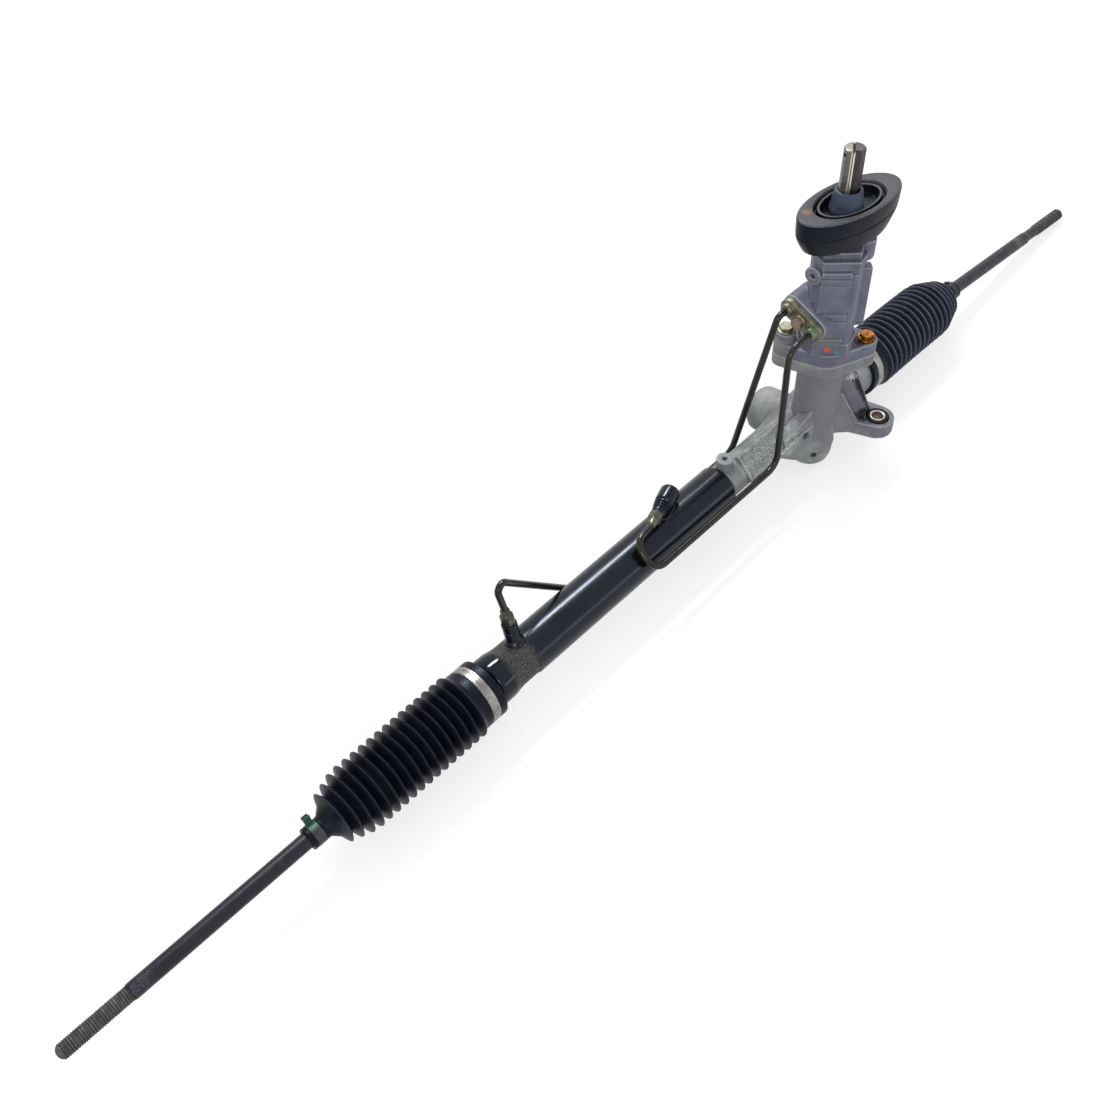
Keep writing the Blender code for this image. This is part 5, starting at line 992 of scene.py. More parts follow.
pipes = {"radius": 3, "bend": 13, "behindDrop": 25, "behindReach": 27.5, "riseX": -68, "loop": (-6, 15, 88),
         "dive": 86, "leftLead": 20, "plateOut": 10.3, "front": -25.5, "frontTurn": -52.5,
         "midTop": (0, -6, 29), "midDip": (0, -2, 9), "midRise": (-68, 0, 5), "midLead": 37, "nutGap": 0.6,
         "nutClear": 15.5}
plate = {"thickness": 6, "collarRadius": 5.6, "collarEnd": 10, "gap": 0.3, "boltLength": 12}
bolts = {"plate": {"head": 5.5, "height": 6, "rim": 6, "shank": 3},
         "flange": {"head": 6.4, "height": 4.6, "rim": 8.2, "shank": 4}}


def plateEnd(side, out):
    return plateFrame() @ Vector((side * tower["plateSpacing"], 0, out))


def makePipes():
    drop = math.radians(pipes["behindDrop"])
    behind = Vector((0, math.cos(drop), -math.sin(drop))) * pipes["behindReach"]
    inFront = Vector((0, pipes["front"], 0))
    turn = Vector((cylinder["midPort"][0] + pipes["frontTurn"], 0, 0))

    def leaving(port, height):
        return [port @ Vector((0, 0, height + out)) for out in (pipes["nutGap"], pipes["nutClear"])]

    def arriving(side, lead):
        return [plateEnd(side, lead), plateEnd(side, pipes["plateOut"])]

    routes = {
        "leftPipe": ("pipe_left", [
            *leaving(onLeftPort, cylinder["portTop"]), leftPort + Vector(pipes["loop"]),
            leftPort + Vector((pipes["dive"], 0, 0)) + behind, Vector((pipes["riseX"], 0, 0)) + behind,
            *arriving(-1, pipes["leftLead"])]),
        "midPipe": ("pipe_mid", [
            *leaving(onMidPort, cylinder["midHalf"]), turn + Vector(pipes["midTop"]),
            turn + inFront + Vector(pipes["midDip"]), Vector(pipes["midRise"]) + inFront,
            *arriving(1, pipes["midLead"])])}
    for name, (node, corners) in routes.items():
        mesh = swept(name, bentRoute(corners, pipes["bend"]), pipes["radius"])
        piece(name, mesh, "pipeOlive", "housing", node, 60)


def hexBolt(name, sizes, length, matrix, looks, node):
    rim, shank = sizes["rim"], sizes["shank"]
    head = hexHead(name, sizes["head"], 1.2, sizes["height"])
    rows = [(0, 0, 0), (0, rim, 0.4), (1.4, rim - 0.2, 0.5), (1.9, sizes["head"] - 1.2, 0.3), (1.9, 0, 0)]
    washer = turned(name, rows, False, 64)
    stem = turned(name, [(-length, 0, 0), (-length, shank, 0.6), (1, shank, 0), (1, 0, 0)], False, 32)
    piece(name, placed(joined(name, head, washer, stem), matrix), looks, "housing", node, 30)


def makePlateAndBolts():
    thick, radius, end, gap = (plate[key] for key in ("thickness", "collarRadius", "collarEnd", "gap"))
    body = prism("pipePlate", stadium(tower["plateSpacing"], tower["plateRadius"]), gap, thick, 1)
    collars = [placed(turned("collar", [
        (3, 0, 0), (3, radius + 0.8, 0), (thick + 0.2, radius + 0.6, 0.6), (thick + 0.6, radius, 0.4),
        (end - 0.8, radius, 0.8), (end, 4.4, 0.4), (end + 0.4, 3.2, 0), (end + 0.4, 0, 0)], False, 64),
        shift(side * tower["plateSpacing"], 0, 0)) for side in (-1, 1)]
    mesh = placed(joined("pipePlate", body, *collars), plateFrame())
    piece("pipePlate", mesh, "yellowZinc", "housing", "pipe_plate", 35)
    onPlate = plateFrame() @ shift(0, 0, thick + gap)
    hexBolt("pipePlateBolt", bolts["plate"], plate["boltLength"], onPlate, "plateBolt", "pipe_plate_bolt")
    for name, axis, face, looks, node in (
            ("leftFlangeBolt", earAxes[0], flange["bossTop"], "yellowZinc", "flange_bolt_left"),
            ("rightFlangeBolt", earAxes[1], flange["top"], "rustyZinc", "flange_bolt_right")):
        length = face - flange["bottom"] - 1
        hexBolt(name, bolts["flange"], length, axis @ shift(0, 0, face + gap), looks, node)


makePipes()
makePlateAndBolts()
print("pipes, plate and bolts done")


# Input shaft, dust collar and bulkhead seal

shaft = {"radius": 8.6, "bore": 3.3, "boreTop": 262.3, "flatLength": 46,
         "planes": ((-90, 6.4, 1), (-167, 7.2, 0)), "stepTurn": -147, "step": (4, 0.3),
         "notch": [(8.2, -1.5), (5.4, 1.3), (8.2, 1.3)], "groove": [(9, -4.4), (9, -0.2), (6.2, -2.3)],
         "slot": (-0.8, 1.6, 2), "hole": 1.8, "holeDown": 4.6, "holeTurn": 150}
collar = {"base": 7, "drop": 8.5, "bore": 8.8, "radius": 14, "foot": 13.5}
seal = {"ahead": 3, "turn": -11, "bottom": 208, "step": 215.5, "top": 241, "hole": 13.8, "wornAndSheenDepth": 1.3}


def makeInputShaft():
    low, high = boxOf("input_shaft")
    radius, hole, holeTop = shaft["radius"], shaft["bore"], shaft["boreTop"]
    bar = turned("inputShaft", [
        (high.z, 0, 0), (high.z, radius - 1, 0.3), (high.z - 1, radius, 0.4), (low.z, radius, 0),
        (low.z, hole, 0), (holeTop, hole, 0), (holeTop, 0, 0)], False, 96)
    wide = 3 * radius
    deep, side = shaft["step"]
    onStep = spun(shaft["stepTurn"])

    def planed(outline, matrix):
        return placed(prism("cut", outline, high.z - shaft["flatLength"], high.z + 2), matrix)

    def block(start, end, below):
        return [(start, below), (end, below), (end, wide), (start, wide)]

    cuts = [planed(block(reach, reach + wide, -wide), spun(angle)) for angle, reach, _ in shaft["planes"]]
    outlines = (block(deep, wide, side), shaft["notch"], shaft["groove"])
    cuts += [planed(outline, onStep) for outline in outlines]
    middle, width, depth = shaft["slot"]
    slot = prism("slot", [(middle - width, 1), (middle, -depth), (middle + width, 1)], -wide, wide)
    acrossTop = Matrix(((0, 0, 1, 0), (1, 0, 0, 0), (0, 1, 0, 0), (0, 0, 0, 1)))
    placed(slot, shift(0, 0, high.z) @ onStep @ acrossTop)
    holeAxis = shift(0, 0, high.z - shaft["holeDown"]) @ spun(shaft["holeTurn"]) @ alongX
    crossHole = bore(shaft["hole"], 0, wide, holeAxis, 32)
    mesh = carved(bar, *cuts, slot, crossHole)
    for looks in ("shaftSteel", "shaftFlatShade", "shaftEdgeHighlight"):
        mesh.materials.append(finishes[looks])
    # the flat, the -90 plane and the right half of the top get a painted shade
    facingAlike, onPlane = 0.999, 0.05
    for face in mesh.polygons:
        ahead = onStep.transposed() @ face.normal
        centre = onStep.transposed() @ face.center
        onTop = face.normal.z > 0.9 and centre.z > high.z - 1
        onFlat = ahead.x > facingAlike and abs(centre.x - deep) < onPlane
        # the painted highlight lies on the side of the notch and the groove that looks outward
        nearNotch = centre.x > 5.5 and abs(centre.y + 1) < 1.9
        if onFlat or (onTop and centre.y > middle):
            face.material_index = 1
        elif 0.3 < ahead.x < 0.93 and nearNotch and abs(ahead.z) < 0.1:
            face.material_index = 2
        for angle, reach, index in shaft["planes"]:
            facing = Vector((math.cos(math.radians(angle)), math.sin(math.radians(angle)), 0))
            if facing.dot(face.normal) > facingAlike and abs(facing.dot(face.center) - reach) < onPlane:
                face.material_index = index
    piece("inputShaft", placed(mesh, onPinion), "shaftSteel", "input", "input_shaft", 25)


def makeDustCollar():
    low, high = boxOf("dust_collar")
    base = low.z + collar["base"]
    top = high.z - collar["drop"]
    hole, radius, foot = collar["bore"], collar["radius"], collar["foot"]
    mesh = turned("dustCollar", [
        (top, hole, 0.3), (top - 0.4, 11.2, 0.7), (base + 5, 12.9, 2), (base + 2.4, radius, 0.8),
        (base + 0.2, radius, 0.5), (base, foot, 0.2), (low.z, foot, 0.3), (low.z, hole, 0.3)])
    piece("dustCollar", placed(mesh, onPinion), "collarRubber", "housing", "dust_collar")


def makeSeal():
    top, bottom, hole, back = seal["top"], seal["bottom"], seal["hole"], -seal["ahead"]
    rows = [
        (top, 51.2, 23.2, 0, 0.9), (top - 1.6, 52.2, 24.2, 0, 1), (top - 14.5, 51.7, 23.7, 0, 1),
        (top - 15.4, 50.7, 22.7, 0, 0.4), (top - 16.3, 51.5, 23.5, 0, 0.8), (top - 20, 50.4, 23.1, 0, 3),
        (seal["step"], 47.4, 22.4, 0, 4), (bottom + 1, 43.2, 21.3, 0, 1.5), (bottom, 40, 19, 0, 1),
        (bottom, hole, hole, back, 0.4), (top - 9, hole, hole, back, 0.6),
        (top - 9, 27.8, 14.2, 0, 1), (top - 1.2, 29, 15, 0, 0.7), (top - 1, 31.4, 16.8, 0, 0.7),
        (top - 6, 32, 17.2, 0, 0.6), (top - 6, 34.4, 19, 0, 0.6), (top - 0.5, 35.4, 19.7, 0, 0.8)]
    onSeal = onPinion @ spun(seal["turn"]) @ shift(seal["ahead"], 0, 0)
    mesh = placed(ovalTurned("bulkheadSeal", rows), onSeal)
    # the top rim is marked as worn rubber with a painted highlight
    wornAndSheen = [1.0 if point[2] > top - seal["wornAndSheenDepth"] else 0.0 for point in pointsOf(mesh)]
    markPoints(mesh, "crest", wornAndSheen)
    piece("bulkheadSeal", mesh, "sealRubber", "housing", "bulkhead_seal", 60)


makeInputShaft()
makeDustCollar()
makeSeal()
print("shaft, collar and seal done")


# Mounting bush, yoke plug and bottom cap

bush = {"rim": ((0.4, 7.5, 0.4), (0.9, 8.6, 0.8), (0.4, 10.2, 0.8), (-1.5, 10.7, 0.4)), "hole": 5.2,
        "sleeve": 7.2}
plugs = {"radius": 14.7, "yokeStart": 32, "yokeKey": 7, "yokeGroove": 14.1, "capKey": 4.75}


def makeBush():
    # the rim is given as (outward, radius, corner) and is the same at both ends
    low, high = boxOf("bush_rubber")
    rows = [(high.z + out, radius, corner) for out, radius, corner in bush["rim"]]
    rows += [(low.z - out, radius, corner) for out, radius, corner in reversed(bush["rim"])]
    onLug = shift(lugPlace.x, lugPlace.y, 0)
    rubber = placed(turned("bushRubber", rows, sides=96), onLug)
    piece("bushRubber", rubber, "bushRubber", "housing", "bush_rubber")
    low, high = boxOf("bush_sleeve")
    hole, radius = bush["hole"], bush["sleeve"]
    sleeve = turned("bushSleeve", [
        (high.z, hole, 0.6), (high.z, radius, 0.5), (low.z, radius, 0.5), (low.z, hole, 0.6)], sides=96)
    piece("bushSleeve", placed(sleeve, onLug), "sleeveSteel", "housing", "bush_sleeve")


def hexKey(radius, low, high):
    return prism("key", arc(0, 0, radius, 0, 5 * math.pi / 3, 5), low, high)


def makePlugs():
    end = housing["yokeEnd"] + 1
    radius, start, groove = plugs["radius"], plugs["yokeStart"], plugs["yokeGroove"]
    plug = turned("yokePlug", [
        (start, 0, 0), (start, radius, 0.3), (end - 2.6, radius, 0.3), (end - 2.2, groove, 0.3),
        (end - 1.6, groove, 0.3), (end - 1.2, 14.6, 0.2), (end, 13.8, 0.8), (end, 0, 0)], False)
    mesh = placed(carved(plug, hexKey(plugs["yokeKey"], end - 5, end + 2)), onYoke)
    piece("yokePlug", mesh, "turnedSteel", "housing", "yoke_plug", 30)
    low, high = boxOf("bottom_cap")
    rows = [(high.z, 0, 0), (high.z, radius, 0.3), (low.z + 1.2, radius, 0.5), (low.z, 13.6, 0.6),
            (low.z, 0, 0)]
    cap = turned("bottomCap", rows, False)
    mesh = placed(carved(cap, hexKey(plugs["capKey"], low.z - 1, low.z + 2.5)), onPinion)
    piece("bottomCap", mesh, "turnedSteel", "housing", "bottom_cap", 30)


makeBush()
makePlugs()
print("bush and plugs done")


# Geometry Nodes for what follows a rule: rod threads and bellows ribs

def newTree(name, numbers, wholeNumbers=()):
    # every tree also takes the finish of what it makes
    tree = bpy.data.node_groups.new(name, "GeometryNodeTree")
    for kind, labels in (("Float", numbers), ("Int", wholeNumbers), ("Material", ("Material",))):
        for label in labels:
            tree.interface.new_socket(label, in_out="INPUT", socket_type="NodeSocket" + kind)
    tree.interface.new_socket("Geometry", in_out="OUTPUT", socket_type="NodeSocketGeometry")
    return groupEnds(tree)


def endTree(tree, out, shape, finish):
    realized = newNode(tree, "GeometryNodeRealizeInstances", {"Geometry": shape})
    coloured = newNode(tree, "GeometryNodeSetMaterial", {"Geometry": realized, "Material": finish})
    connect(out["Geometry"], coloured)
    return tree


def grown(name, tree, values):
    body = holder(name, bpy.data.meshes.new(name))
    modifier = body.modifiers.new(name, "NODES")
    modifier.node_group = tree
    for socket in tree.interface.items_tree:
        if socket.in_out == "INPUT":
            modifier[socket.identifier] = values[socket.name]
    mesh = evaluated(body)
    body.modifiers.clear()
    bpy.data.objects.remove(body)
    return mesh


def makeThreadTree():
    tree, given, out = newTree("rodThread", ("Turns", "Length", "Radius", "Ridge", "Start"))
    spiral = newNode(tree, "GeometryNodeCurveSpiral", {
        "Resolution": 40, "Rotations": given["Turns"], "Start Radius": given["Radius"],
        "End Radius": given["Radius"], "Height": given["Length"]})
    ridge = newNode(tree, "GeometryNodeCurvePrimitiveCircle", {"Resolution": 4, "Radius": given["Ridge"]})
    thread = newNode(tree, "GeometryNodeCurveToMesh",
                     {"Curve": spiral, "Profile Curve": ridge, "Fill Caps": True})
    lift = newNode(tree, "ShaderNodeCombineXYZ", {"Z": given["Start"]})
    moved = newNode(tree, "GeometryNodeTransform", {"Geometry": thread, "Translation": lift})
    return endTree(tree, out, moved, given["Material"])


def makeRibTree():
    # a flat sheet is rolled up, and each place along it gets the radius of its fold
    numbers = ("Pitch", "Full Radius", "Small Radius", "Growth", "Depth", "Entry Radius", "Start",
               "Sharpness", "Bluntness", "Relief")
    wholeNumbers = ("Ribs", "First Rib", "Ribs In All", "Steps", "Sides", "Shallow Fold")
    tree, given, out = newTree("bellowsRibs", numbers, wholeNumbers)
    length = given["Ribs"] * given["Pitch"]
    sheet = newNode(tree, "GeometryNodeMeshGrid", {
        "Size X": length, "Size Y": 1.0, "Vertices X": given["Ribs"] * given["Steps"] + 1.0,
        "Vertices Y": given["Sides"] + 1.0})
    place = newNode(tree, "GeometryNodeInputPosition")
    flatX, flatY = (newNode(tree, "ShaderNodeSeparateXYZ", {0: place}, axis) for axis in ("X", "Y"))
    along = flatX + length * 0.5
    angle = (flatY + 0.5) * (2 * math.pi)
    counted = along / given["Pitch"] + given["First Rib"]
    index = (counted + 0.0005).sums("FLOOR")
    share = counted - index

    def crestOf(number):
        left = given["Ribs In All"] - 1.0 - number
        return given["Full Radius"].sums("MINIMUM", given["Small Radius"] + given["Growth"] * left)

    def footOf(number):
        # the fold where the rod leans closest is a little shallower
        apart = (number - given["Shallow Fold"]).sums("ABSOLUTE")
        return crestOf(number) - given["Depth"] + apart.sums("LESS_THAN", 0.5) * given["Relief"]

    def chosen(test, first, second):
        return test * first + (1.0 - test) * second

    def blunted(square):
        return (given["Bluntness"] * given["Bluntness"] + square).sums("SQRT") - given["Bluntness"]

    before = chosen(index.sums("LESS_THAN", 0.5), given["Entry Radius"], footOf(index - 1.0))
    foot = chosen(share.sums("LESS_THAN", 0.5), before, footOf(index))
    away = (share * 2.0 - 1.0).sums("ABSOLUTE")
    rise = newSum(tree, "SUBTRACT", 1.0, blunted(away * away) / blunted(1.0), True)
    radius = foot + (crestOf(index) - foot) * rise.sums("POWER", given["Sharpness"])
    rolled = newNode(tree, "ShaderNodeCombineXYZ", {
        "X": radius * angle.sums("COSINE"), "Y": radius * angle.sums("SINE"), "Z": along + given["Start"]})
    marked = newNode(tree, "GeometryNodeStoreNamedAttribute", {
        "Geometry": sheet, "Name": "crest", "Value": rise.sums("POWER", 10.0)})
    ribs = newNode(tree, "GeometryNodeSetPosition", {"Geometry": marked, "Position": rolled})
    closed = newNode(tree, "GeometryNodeMergeByDistance", {"Geometry": ribs, "Distance": 0.001})
    return endTree(tree, out, closed, given["Material"])


threadTree = makeThreadTree()
ribTree = makeRibTree()


# Tie rods with their threads and balls

rod = {"length": 313, "radius": 6.5, "neck": 4.4, "ball": 11, "threadRoot": 5.5, "threadTop": 6.2,
       "threadLength": 57, "pitch": 1.75, "tip": 4, "droop": 6.5}
bellows = {"sides": 128, "steps": 16, "pitch": 8.1, "growth": 2.6, "sharpness": 1.3, "smallRadius": 9.2,
           "smallGroove": 8, "smallLength": 15, "smallBore": 6.8, "cuffWall": 3.7, "groove": 1.2,
           "bandWidth": 8, "clipWidth": 8, "parts": (2, 8, 2), "share": 0.21, "ribs": 17, "shallow": 11}
left = {"ball": -487, "cuffStart": 411, "ribStart": 433, "full": 28.5, "small": 22.3, "cuff": 21.8,
        "smallEnd": 591, "matrix": againstX, "sign": -1, "body": "left_rod", "swingEnd": 552, "neckEnd": 78,
        "sag": 0, "waist": None, "depth": 8.2, "wall": 1.9, "bluntness": 0.03, "relief": 2.4,
        "hollow": (20, 22, 20, 23.5, 22.4), "rubber": "leftRubber"}
right = {"ball": 190, "cuffStart": 86, "ribStart": 108, "full": 30, "small": 21.5, "cuff": 23.3,
         "smallEnd": 270, "matrix": alongX, "sign": 1, "body": "right_rod", "swingEnd": 255, "neckEnd": 16,
         "sag": rod["droop"], "waist": (231, 256, 5.5), "depth": 6.2, "wall": 3.5, "bluntness": 0.1,
         "relief": 0.0, "hollow": None, "rubber": "rightRubber"}


def onBall(side):
    # the frame of a rod at rest, along local Z from the middle of its ball
    return shift(side["ball"], 0, 0) @ spun(side["sag"], "Y") @ side["matrix"]


def makeRod(name, side, looks, threadLooks, node):
    radius, neck, root, tip = rod["radius"], rod["neck"], rod["threadRoot"], rod["tip"]
    plain = rod["length"] - rod["threadLength"]
    ballAngles = np.linspace(math.pi, math.asin(neck / rod["ball"]), 24)
    rows = [(rod["ball"] * math.cos(a), rod["ball"] * math.sin(a), 0) for a in ballAngles]
    rows += [(side["neckEnd"], neck, 1), (side["neckEnd"] + 4, radius, 1.5)]
    if side["waist"]:
        start, end, waist = side["waist"]
        rows += [(start, radius, 1.5), (start + 4, waist, 1.5), (end, waist, 0.5)]
    else:
        rows += [(plain - 1, radius, 0.5)]
    rows += [(plain + 2, root, 0.5)]
    rows += [(rod["length"] - tip * (1 - math.sin(a)), root * math.cos(a), 0)
             for a in np.linspace(0, math.pi / 2, 10)]
    bar = turned(name, rows, False, 64)
    ridge = rod["threadTop"] - root + 0.2
    length = rod["threadLength"] - tip
    thread = grown(name, threadTree, {
        "Turns": length / rod["pitch"], "Length": length, "Radius": rod["threadTop"] - ridge, "Ridge": ridge,
        "Start": plain + 0.8, "Material": finishes[threadLooks]})
    barFaces = len(bar.polygons)
    mesh = joined(name, bar, thread)
    for finish in (looks, threadLooks, "threadRoot"):
        mesh.materials.append(finishes[finish])
    for face in mesh.polygons:
        onThread = face.index >= barFaces
        onTip = face.center.z > rod["length"] - tip
        # the bar under the thread takes the painted shade of the thread roots
        face.material_index = 1 if onThread or onTip else 2 if face.center.z > plain else 0
    piece(name, placed(mesh, onBall(side)), looks, side["body"], node, 35)


makeRod("leftTieRod", left, "leftRodSteel", "leftThread", "tie_rod_left")
makeRod("rightTieRod", right, "rightRodSteel", "rightThread", "tie_rod_right")
print("tie rods done")


# Bellows: each is cut in its folds into four lengths

def sagged(mesh, side):
    # the right bellows bends down in an even curve that ends along its drooping rod
    if side["sag"]:
        reach = 2 * (side["smallEnd"] - bellows["smallLength"] - side["ball"])
        points = pointsOf(mesh)
        along = points[:, 0] - (side["ball"] - reach / 2)
        fall = np.clip(along / reach, 0, 1) ** 2 * reach / 2 + np.maximum(0, along - reach)
        points[:, 2] -= math.tan(math.radians(side["sag"])) * fall
        movePoints(mesh, points)
    return mesh


def crestRadius(side, index):
    return min(side["full"], side["small"] + bellows["growth"] * (bellows["ribs"] - 1 - index))


def ribLength(name, side, first, count):
    return grown(name, ribTree, {
        "Ribs": count, "First Rib": first, "Ribs In All": bellows["ribs"], "Steps": bellows["steps"],
        "Sides": bellows["sides"], "Pitch": bellows["pitch"], "Full Radius": side["full"],
        "Small Radius": side["small"], "Growth": bellows["growth"], "Depth": side["depth"],
        "Entry Radius": side["cuff"] + bellows["cuffWall"],
        "Start": side["ribStart"] + first * bellows["pitch"],
        "Sharpness": bellows["sharpness"], "Bluntness": side["bluntness"], "Shallow Fold": bellows["shallow"],
        "Relief": side["relief"], "Material": finishes[side["rubber"]]})


def makeBellows(name, side, node):
    pitch, ribs, small = bellows["pitch"], bellows["ribs"], bellows["smallRadius"]
    start, end, low = side["ribStart"], side["smallEnd"], side["cuffStart"]
    cuffInner = side["cuff"]
    cuffOuter = cuffInner + bellows["cuffWall"]
    borePlain = side["full"] - side["depth"] - side["wall"]
    smallStart = end - bellows["smallLength"]
    lastFull = start + pitch * (0.5 + max(i for i in range(ribs) if crestRadius(side, i) == side["full"]))

    def boreAt(along):
        fall = min(1, max(0, (along - lastFull) / (smallStart - lastFull)))
        return borePlain + (bellows["smallBore"] - borePlain) * fall

    def valleyAt(index):
        relief = side["relief"] if index == bellows["shallow"] else 0
        return crestRadius(side, index) - side["depth"] + relief

    def foldRow(index):
        along = start + (index + 1) * pitch
        return (along, valleyAt(index), 0), (along, min(boreAt(along), valleyAt(index) - 2), 0)

    def shell(part, first, count, rows):
        cover = turned(part, rows, False, bellows["sides"], 4.0)
        mesh = weld(joined(part, ribLength(part, side, first, count), cover), 0.02)
        mesh = sagged(placed(mesh, side["matrix"]), side)
        return piece(part, mesh, side["rubber"], None, node, 50)

    def grooveRows(first, last, width, outer, inner, corner):
        inset = (last - first - width) / 2 - 0.3
        return [(first + inset, outer, corner), (first + inset, inner, 0.3), (last - inset, inner, 0.3),
                (last - inset, outer, corner)]

    one, two, three = bellows["parts"]
    split = one + two + three
    outer, inner = foldRow(one - 1)
    midOuter, midInner = foldRow(one + two - 1)
    splitOuter, splitInner = foldRow(split - 1)
    foreInner = [midInner, splitInner]
    if side["hollow"]:
        # the inner wall follows the folds where the rod leans over
        places = np.linspace(midInner[0], splitInner[0], len(side["hollow"]))
        foreInner = [(along, radius, 0) for along, radius in zip(places, side["hollow"])]
        midInner, splitInner = foreInner[0], foreInner[-1]
    cuff = [outer, inner, (start + pitch, borePlain, 0), (start, cuffInner, 0.5), (low, cuffInner, 0.5),
            (low, cuffOuter, 0.8),
            *grooveRows(low, start, bellows["bandWidth"], cuffOuter, cuffOuter - bellows["groove"], 0.5),
            (start, cuffOuter, 0)]
    cone = [(start + ribs * pitch, valleyAt(ribs - 1), 0), (smallStart, small, 2),
            *grooveRows(smallStart, end, bellows["clipWidth"], small, bellows["smallGroove"], 0.4),
            (end, small, 0.7), (end, bellows["smallBore"], 0.4), (smallStart, bellows["smallBore"], 1),
            splitInner, splitOuter]
    root = shell(name + "Root", 0, one, cuff)
    middle = shell(name + "Middle", one, two, [midOuter, midInner, inner, outer])
    fore = shell(name + "Fore", one + two, three, [splitOuter, *reversed(foreInner), midOuter])
    tip = shell(name + "Tip", split, ribs - split, cone)

    def spot(along):
        return (side["sign"] * along * mm, 0, 0)

    share = bellows["share"]
    rootReach = one * pitch / share
    midReach = two * pitch / (1 - 2 * share)
    foreEnd = start + split * pitch
    midStart = start + one * pitch - share * midReach
    spot(start)
    spot(start + rootReach)
    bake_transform(root)
    spot(midStart)
    spot(midStart + midReach)
    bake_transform(middle)
    spot(foreEnd - rootReach)
    spot(foreEnd)
    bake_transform(fore)
    spot(foreEnd)
    spot(side["swingEnd"])
    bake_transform(tip)


makeBellows("leftBellows", left, "bellows_left")
makeBellows("rightBellows", right, "bellows_right")
print("bellows done")


# Bands and clips

def strip(name, inner, thickness, width, startAngle, endAngle, steps=64):
    # a curved flat strip round local Z with softened edges
    half = width / 2
    outer = inner + thickness
    lip = min(0.3, thickness / 3)
    section = [(inner, lip - half), (inner + lip, -half), (outer - lip, -half), (outer, lip - half),
               (outer, half - lip), (outer - lip, half), (inner + lip, half), (inner, half - lip)]
    points = []
    for step in range(steps + 1):
        a = startAngle + (endAngle - startAngle) * step / steps
        points += [(r * math.cos(a), r * math.sin(a), z) for r, z in section]
    count = len(section)
    faces = gridFaces(steps + 1, count, False)
    faces += [tuple(range(count)), tuple(steps * count + i for i in reversed(range(count)))]
    return newMesh(name, points, faces)


band = {"thickness": 0.9, "width": 8, "overlapFrom": 150, "overlapTo": 215, "lapThickness": 0.8,
        "lapWidth": 7.4, "slots": (160, 172), "slotHalf": (2.2, 1), "latch": 196}


def makeBand(name, node):
    low, high = boxOf(node)
    inner = (high.z - low.z) / 2 - band["thickness"]
    ring = strip(name, inner, band["thickness"], band["width"], 0, 2 * math.pi, 160)
    begin, end = math.radians(band["overlapFrom"]), math.radians(band["overlapTo"])
    lap = strip(name, inner + band["thickness"], band["lapThickness"], band["lapWidth"], begin, end)

    def standing(mesh, angle):
        return placed(mesh, spun(angle) @ alongX @ spun(90))

    x, y = band["slotHalf"]
    corners = [(-x, -y), (x, -y), (x, y), (-x, y)]
    slots = [standing(prism("slot", corners, inner + 1.1, inner + 4), angle) for angle in band["slots"]]
    lap = carved(lap, *slots)
    latch = standing(prism("latch", stadium(1.6, 1.3, 8), inner + 1, inner + 2.6, 0.5), band["latch"])
    mesh = placed(joined(name, ring, lap, latch), shift((low.x + high.x) / 2, 0, 0) @ alongX)
    piece(name, mesh, "bandSteel", "housing", node, 30)


clip = {"inner": 8.3, "thickness": 1.1, "width": 8, "tabWidth": 5.6, "tabFoot": 0.3, "gap": 0.5, "lean": 33,
        "flare": ((0, 0), (1.1, 0), (1.1, 4.2), (2.3, 6.6), (1.5, 7.8), (0, 4.6))}


def makeClip(name, side, node, looks, along, tabHeight):
    # a spring clip whose two pinched ends stand up side by side
    ring = strip(name, clip["inner"], clip["thickness"], clip["width"], 0, 2 * math.pi, 96)
    foot = clip["inner"] + clip["tabFoot"]
    half = clip["tabWidth"] / 2
    tabs = []
    for face in (-1, 1):
        outline = [(foot + y * tabHeight, face * (clip["gap"] / 2 + x)) for x, y in clip["flare"]]
        tabs.append(prism("tab", outline[::face], -half, half, 0.25))
    lean = clip["lean"] if side["sign"] < 0 else 180 - clip["lean"]
    mesh = placed(joined(name, ring, *tabs), onBall(side) @ shift(0, 0, along) @ spun(lean))
    piece(name, mesh, looks, side["body"], node, 30)


makeBand("leftBand", "large_band_left")
makeBand("rightBand", "large_band_right")
makeClip("leftClip", left, "small_clip_left", "greenClip", along=96.5, tabHeight=1)
makeClip("rightClip", right, "small_clip_right", "clipSteel", along=72.9, tabHeight=0.4)
print("bands and clips done")


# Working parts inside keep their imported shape

insideFinishes = {
    "turnedSteel": ("rack_bar", "pinion", "piston", "pinion_nut", "lower_bearing", "upper_bearing",
                    "shaft_bearing", "torsion_bar", "valve_sleeve", "yoke_spring", "ball_socket_left",
                    "ball_socket_right"),
    "sealRubber": ("rack_seal_left", "rack_seal_right", "shaft_seal"),
    "paleResin": ("piston_ring", "yoke", "ball_seat_left", "ball_seat_right"),
    "bushBronze": ("rack_bush_left", "rack_bush_right")}
for looks, nodes in insideFinishes.items():
    for node in nodes:
        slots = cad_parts[node].data.materials
        slots.clear()
        slots.append(finishes[looks])


# Floor, light and camera: the stage is in metres, and the view in millimetres and degrees

stage = {"floor": 6.0, "floorTone": 0.4, "floorGlow": 0.64, "floorGap": 0.0005, "skyDiffuse": 0.8}
lamps = {
    "keyLamp": {"place": (0.5, 0.87, 1.55), "aim": (0.5, 0, 0), "size": (2.4, 0.12), "power": 12},
    "fillLamp": {"place": (0.6, -1.75, 0.3), "aim": (0.6, 0, 0), "size": (1.6, 0.2), "power": 4},
    "frontLamp": {"place": (-1.6, -1.1, 1.0), "aim": (0, 0, 0.1), "size": (0.9, 0.6), "power": 11},
    "shineLamp": {"place": (0.42, 0.9, 1.56), "aim": (0.42, 0, 0), "size": (0.9, 0.3), "power": 46}}
mirroredOnly = ("shineLamp",)


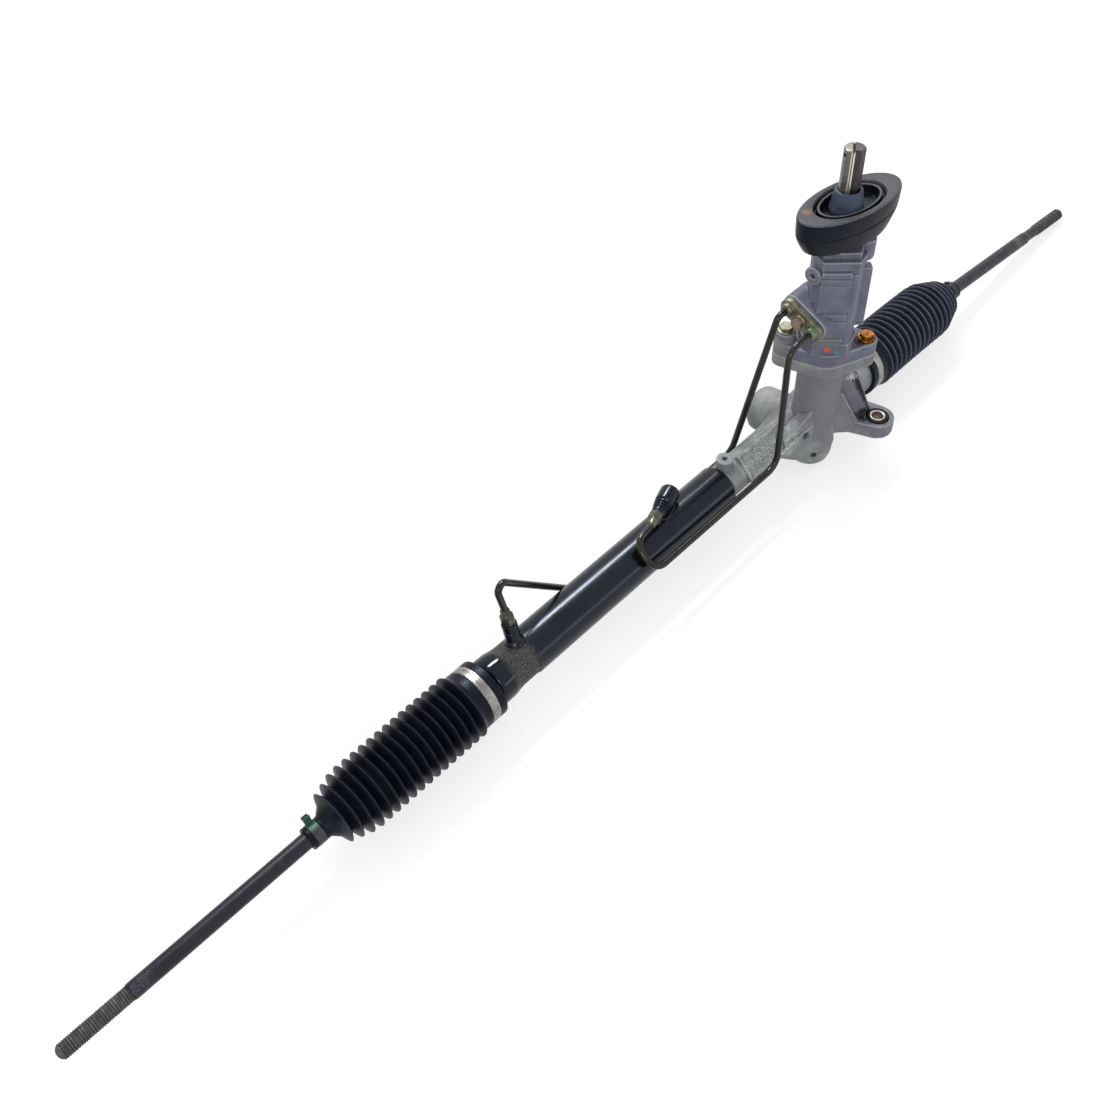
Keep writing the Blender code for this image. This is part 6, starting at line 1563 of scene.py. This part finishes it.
def seenWhite(tree):
    # 1 for the camera, mirrors and glass, 0 for the light that falls on things
    camera, mirror, glass = (newNode(tree, "ShaderNodeLightPath", out=f"Is {ray} Ray")
                             for ray in ("Camera", "Glossy", "Transmission"))
    return camera.sums("MAXIMUM", mirror).sums("MAXIMUM", glass)


def makeFloor():
    size = stage["floor"]
    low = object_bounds()[0][2] - stage["floorGap"]
    mesh = bpy.data.meshes.new("floor")
    corners = [(x * size, y * size, low) for x, y in ((-1, -1), (1, -1), (1, 1), (-1, 1))]
    mesh.from_pydata(corners, [], [(0, 1, 2, 3)])
    ground = holder("floor", mesh)
    made = bpy.data.materials.new("paleFloor")
    made.use_nodes = True
    tree = made.node_tree
    tree.nodes.clear()
    grey = (stage["floorTone"],) * 3 + (1,)
    matt = newNode(tree, "ShaderNodeBsdfDiffuse", {"Color": grey})
    glow = newNode(tree, "ShaderNodeEmission", {"Strength": seenWhite(tree) * stage["floorGlow"]})
    both = newNode(tree, "ShaderNodeAddShader", {0: matt, 1: glow})
    connect(tree.nodes.new("ShaderNodeOutputMaterial").inputs["Surface"], both)
    mesh.materials.append(made)


def makeSky():
    world = bpy.data.worlds.new("whiteSky")
    bpy.context.scene.world = world
    world.use_nodes = True
    tree = world.node_tree
    background = tree.nodes["Background"]
    background.inputs["Color"].default_value = (1, 1, 1, 1)
    connect(background.inputs["Strength"], ranged(seenWhite(tree), 0, 1, stage["skyDiffuse"], 1.0))


def makeLamp(name, sizes):
    lamp = bpy.data.lights.new(name, "AREA")
    lamp.shape = "RECTANGLE"
    lamp.size, lamp.size_y = sizes["size"]
    lamp.energy = sizes["power"]
    made = holder(name, lamp)
    place = Vector(sizes["place"])
    made.location = place
    made.rotation_euler = (Vector(sizes["aim"]) - place).to_track_quat("-Z", "Y").to_euler()
    made.visible_diffuse = name not in mirroredOnly


view = {"place": (-775.9, -460.5, 820.3), "heading": 44.37, "down": 48.94, "roll": -3.14,
        "focalPixels": 1276.3, "imageWidth": 1112, "sensor": 36.0}


def makeCamera():
    camera = bpy.data.cameras.new("photoView")
    camera.sensor_fit = "HORIZONTAL"
    camera.sensor_width = view["sensor"]
    camera.lens = view["focalPixels"] / view["imageWidth"] * view["sensor"]
    camera.clip_start = 0.01
    heading, down, roll = (math.radians(view[key]) for key in ("heading", "down", "roll"))
    across = Vector((math.cos(heading), -math.sin(heading), 0))
    ahead = Vector((math.sin(heading) * math.cos(down), math.cos(heading) * math.cos(down), -math.sin(down)))
    over = across.cross(ahead)
    rightward = across * math.cos(roll) + over * math.sin(roll)
    upward = over * math.cos(roll) - across * math.sin(roll)
    made = holder("photoView", camera)
    turn = Matrix((rightward, upward, -ahead)).transposed().to_4x4()
    made.matrix_world = Matrix.Translation(Vector(view["place"]) * mm) @ turn
    bpy.context.scene.camera = made


makeFloor()
makeSky()
for name, sizes in lamps.items():
    makeLamp(name, sizes)
makeCamera()
bpy.context.scene.view_settings.view_transform = "Standard"
print("floor, light and camera done")
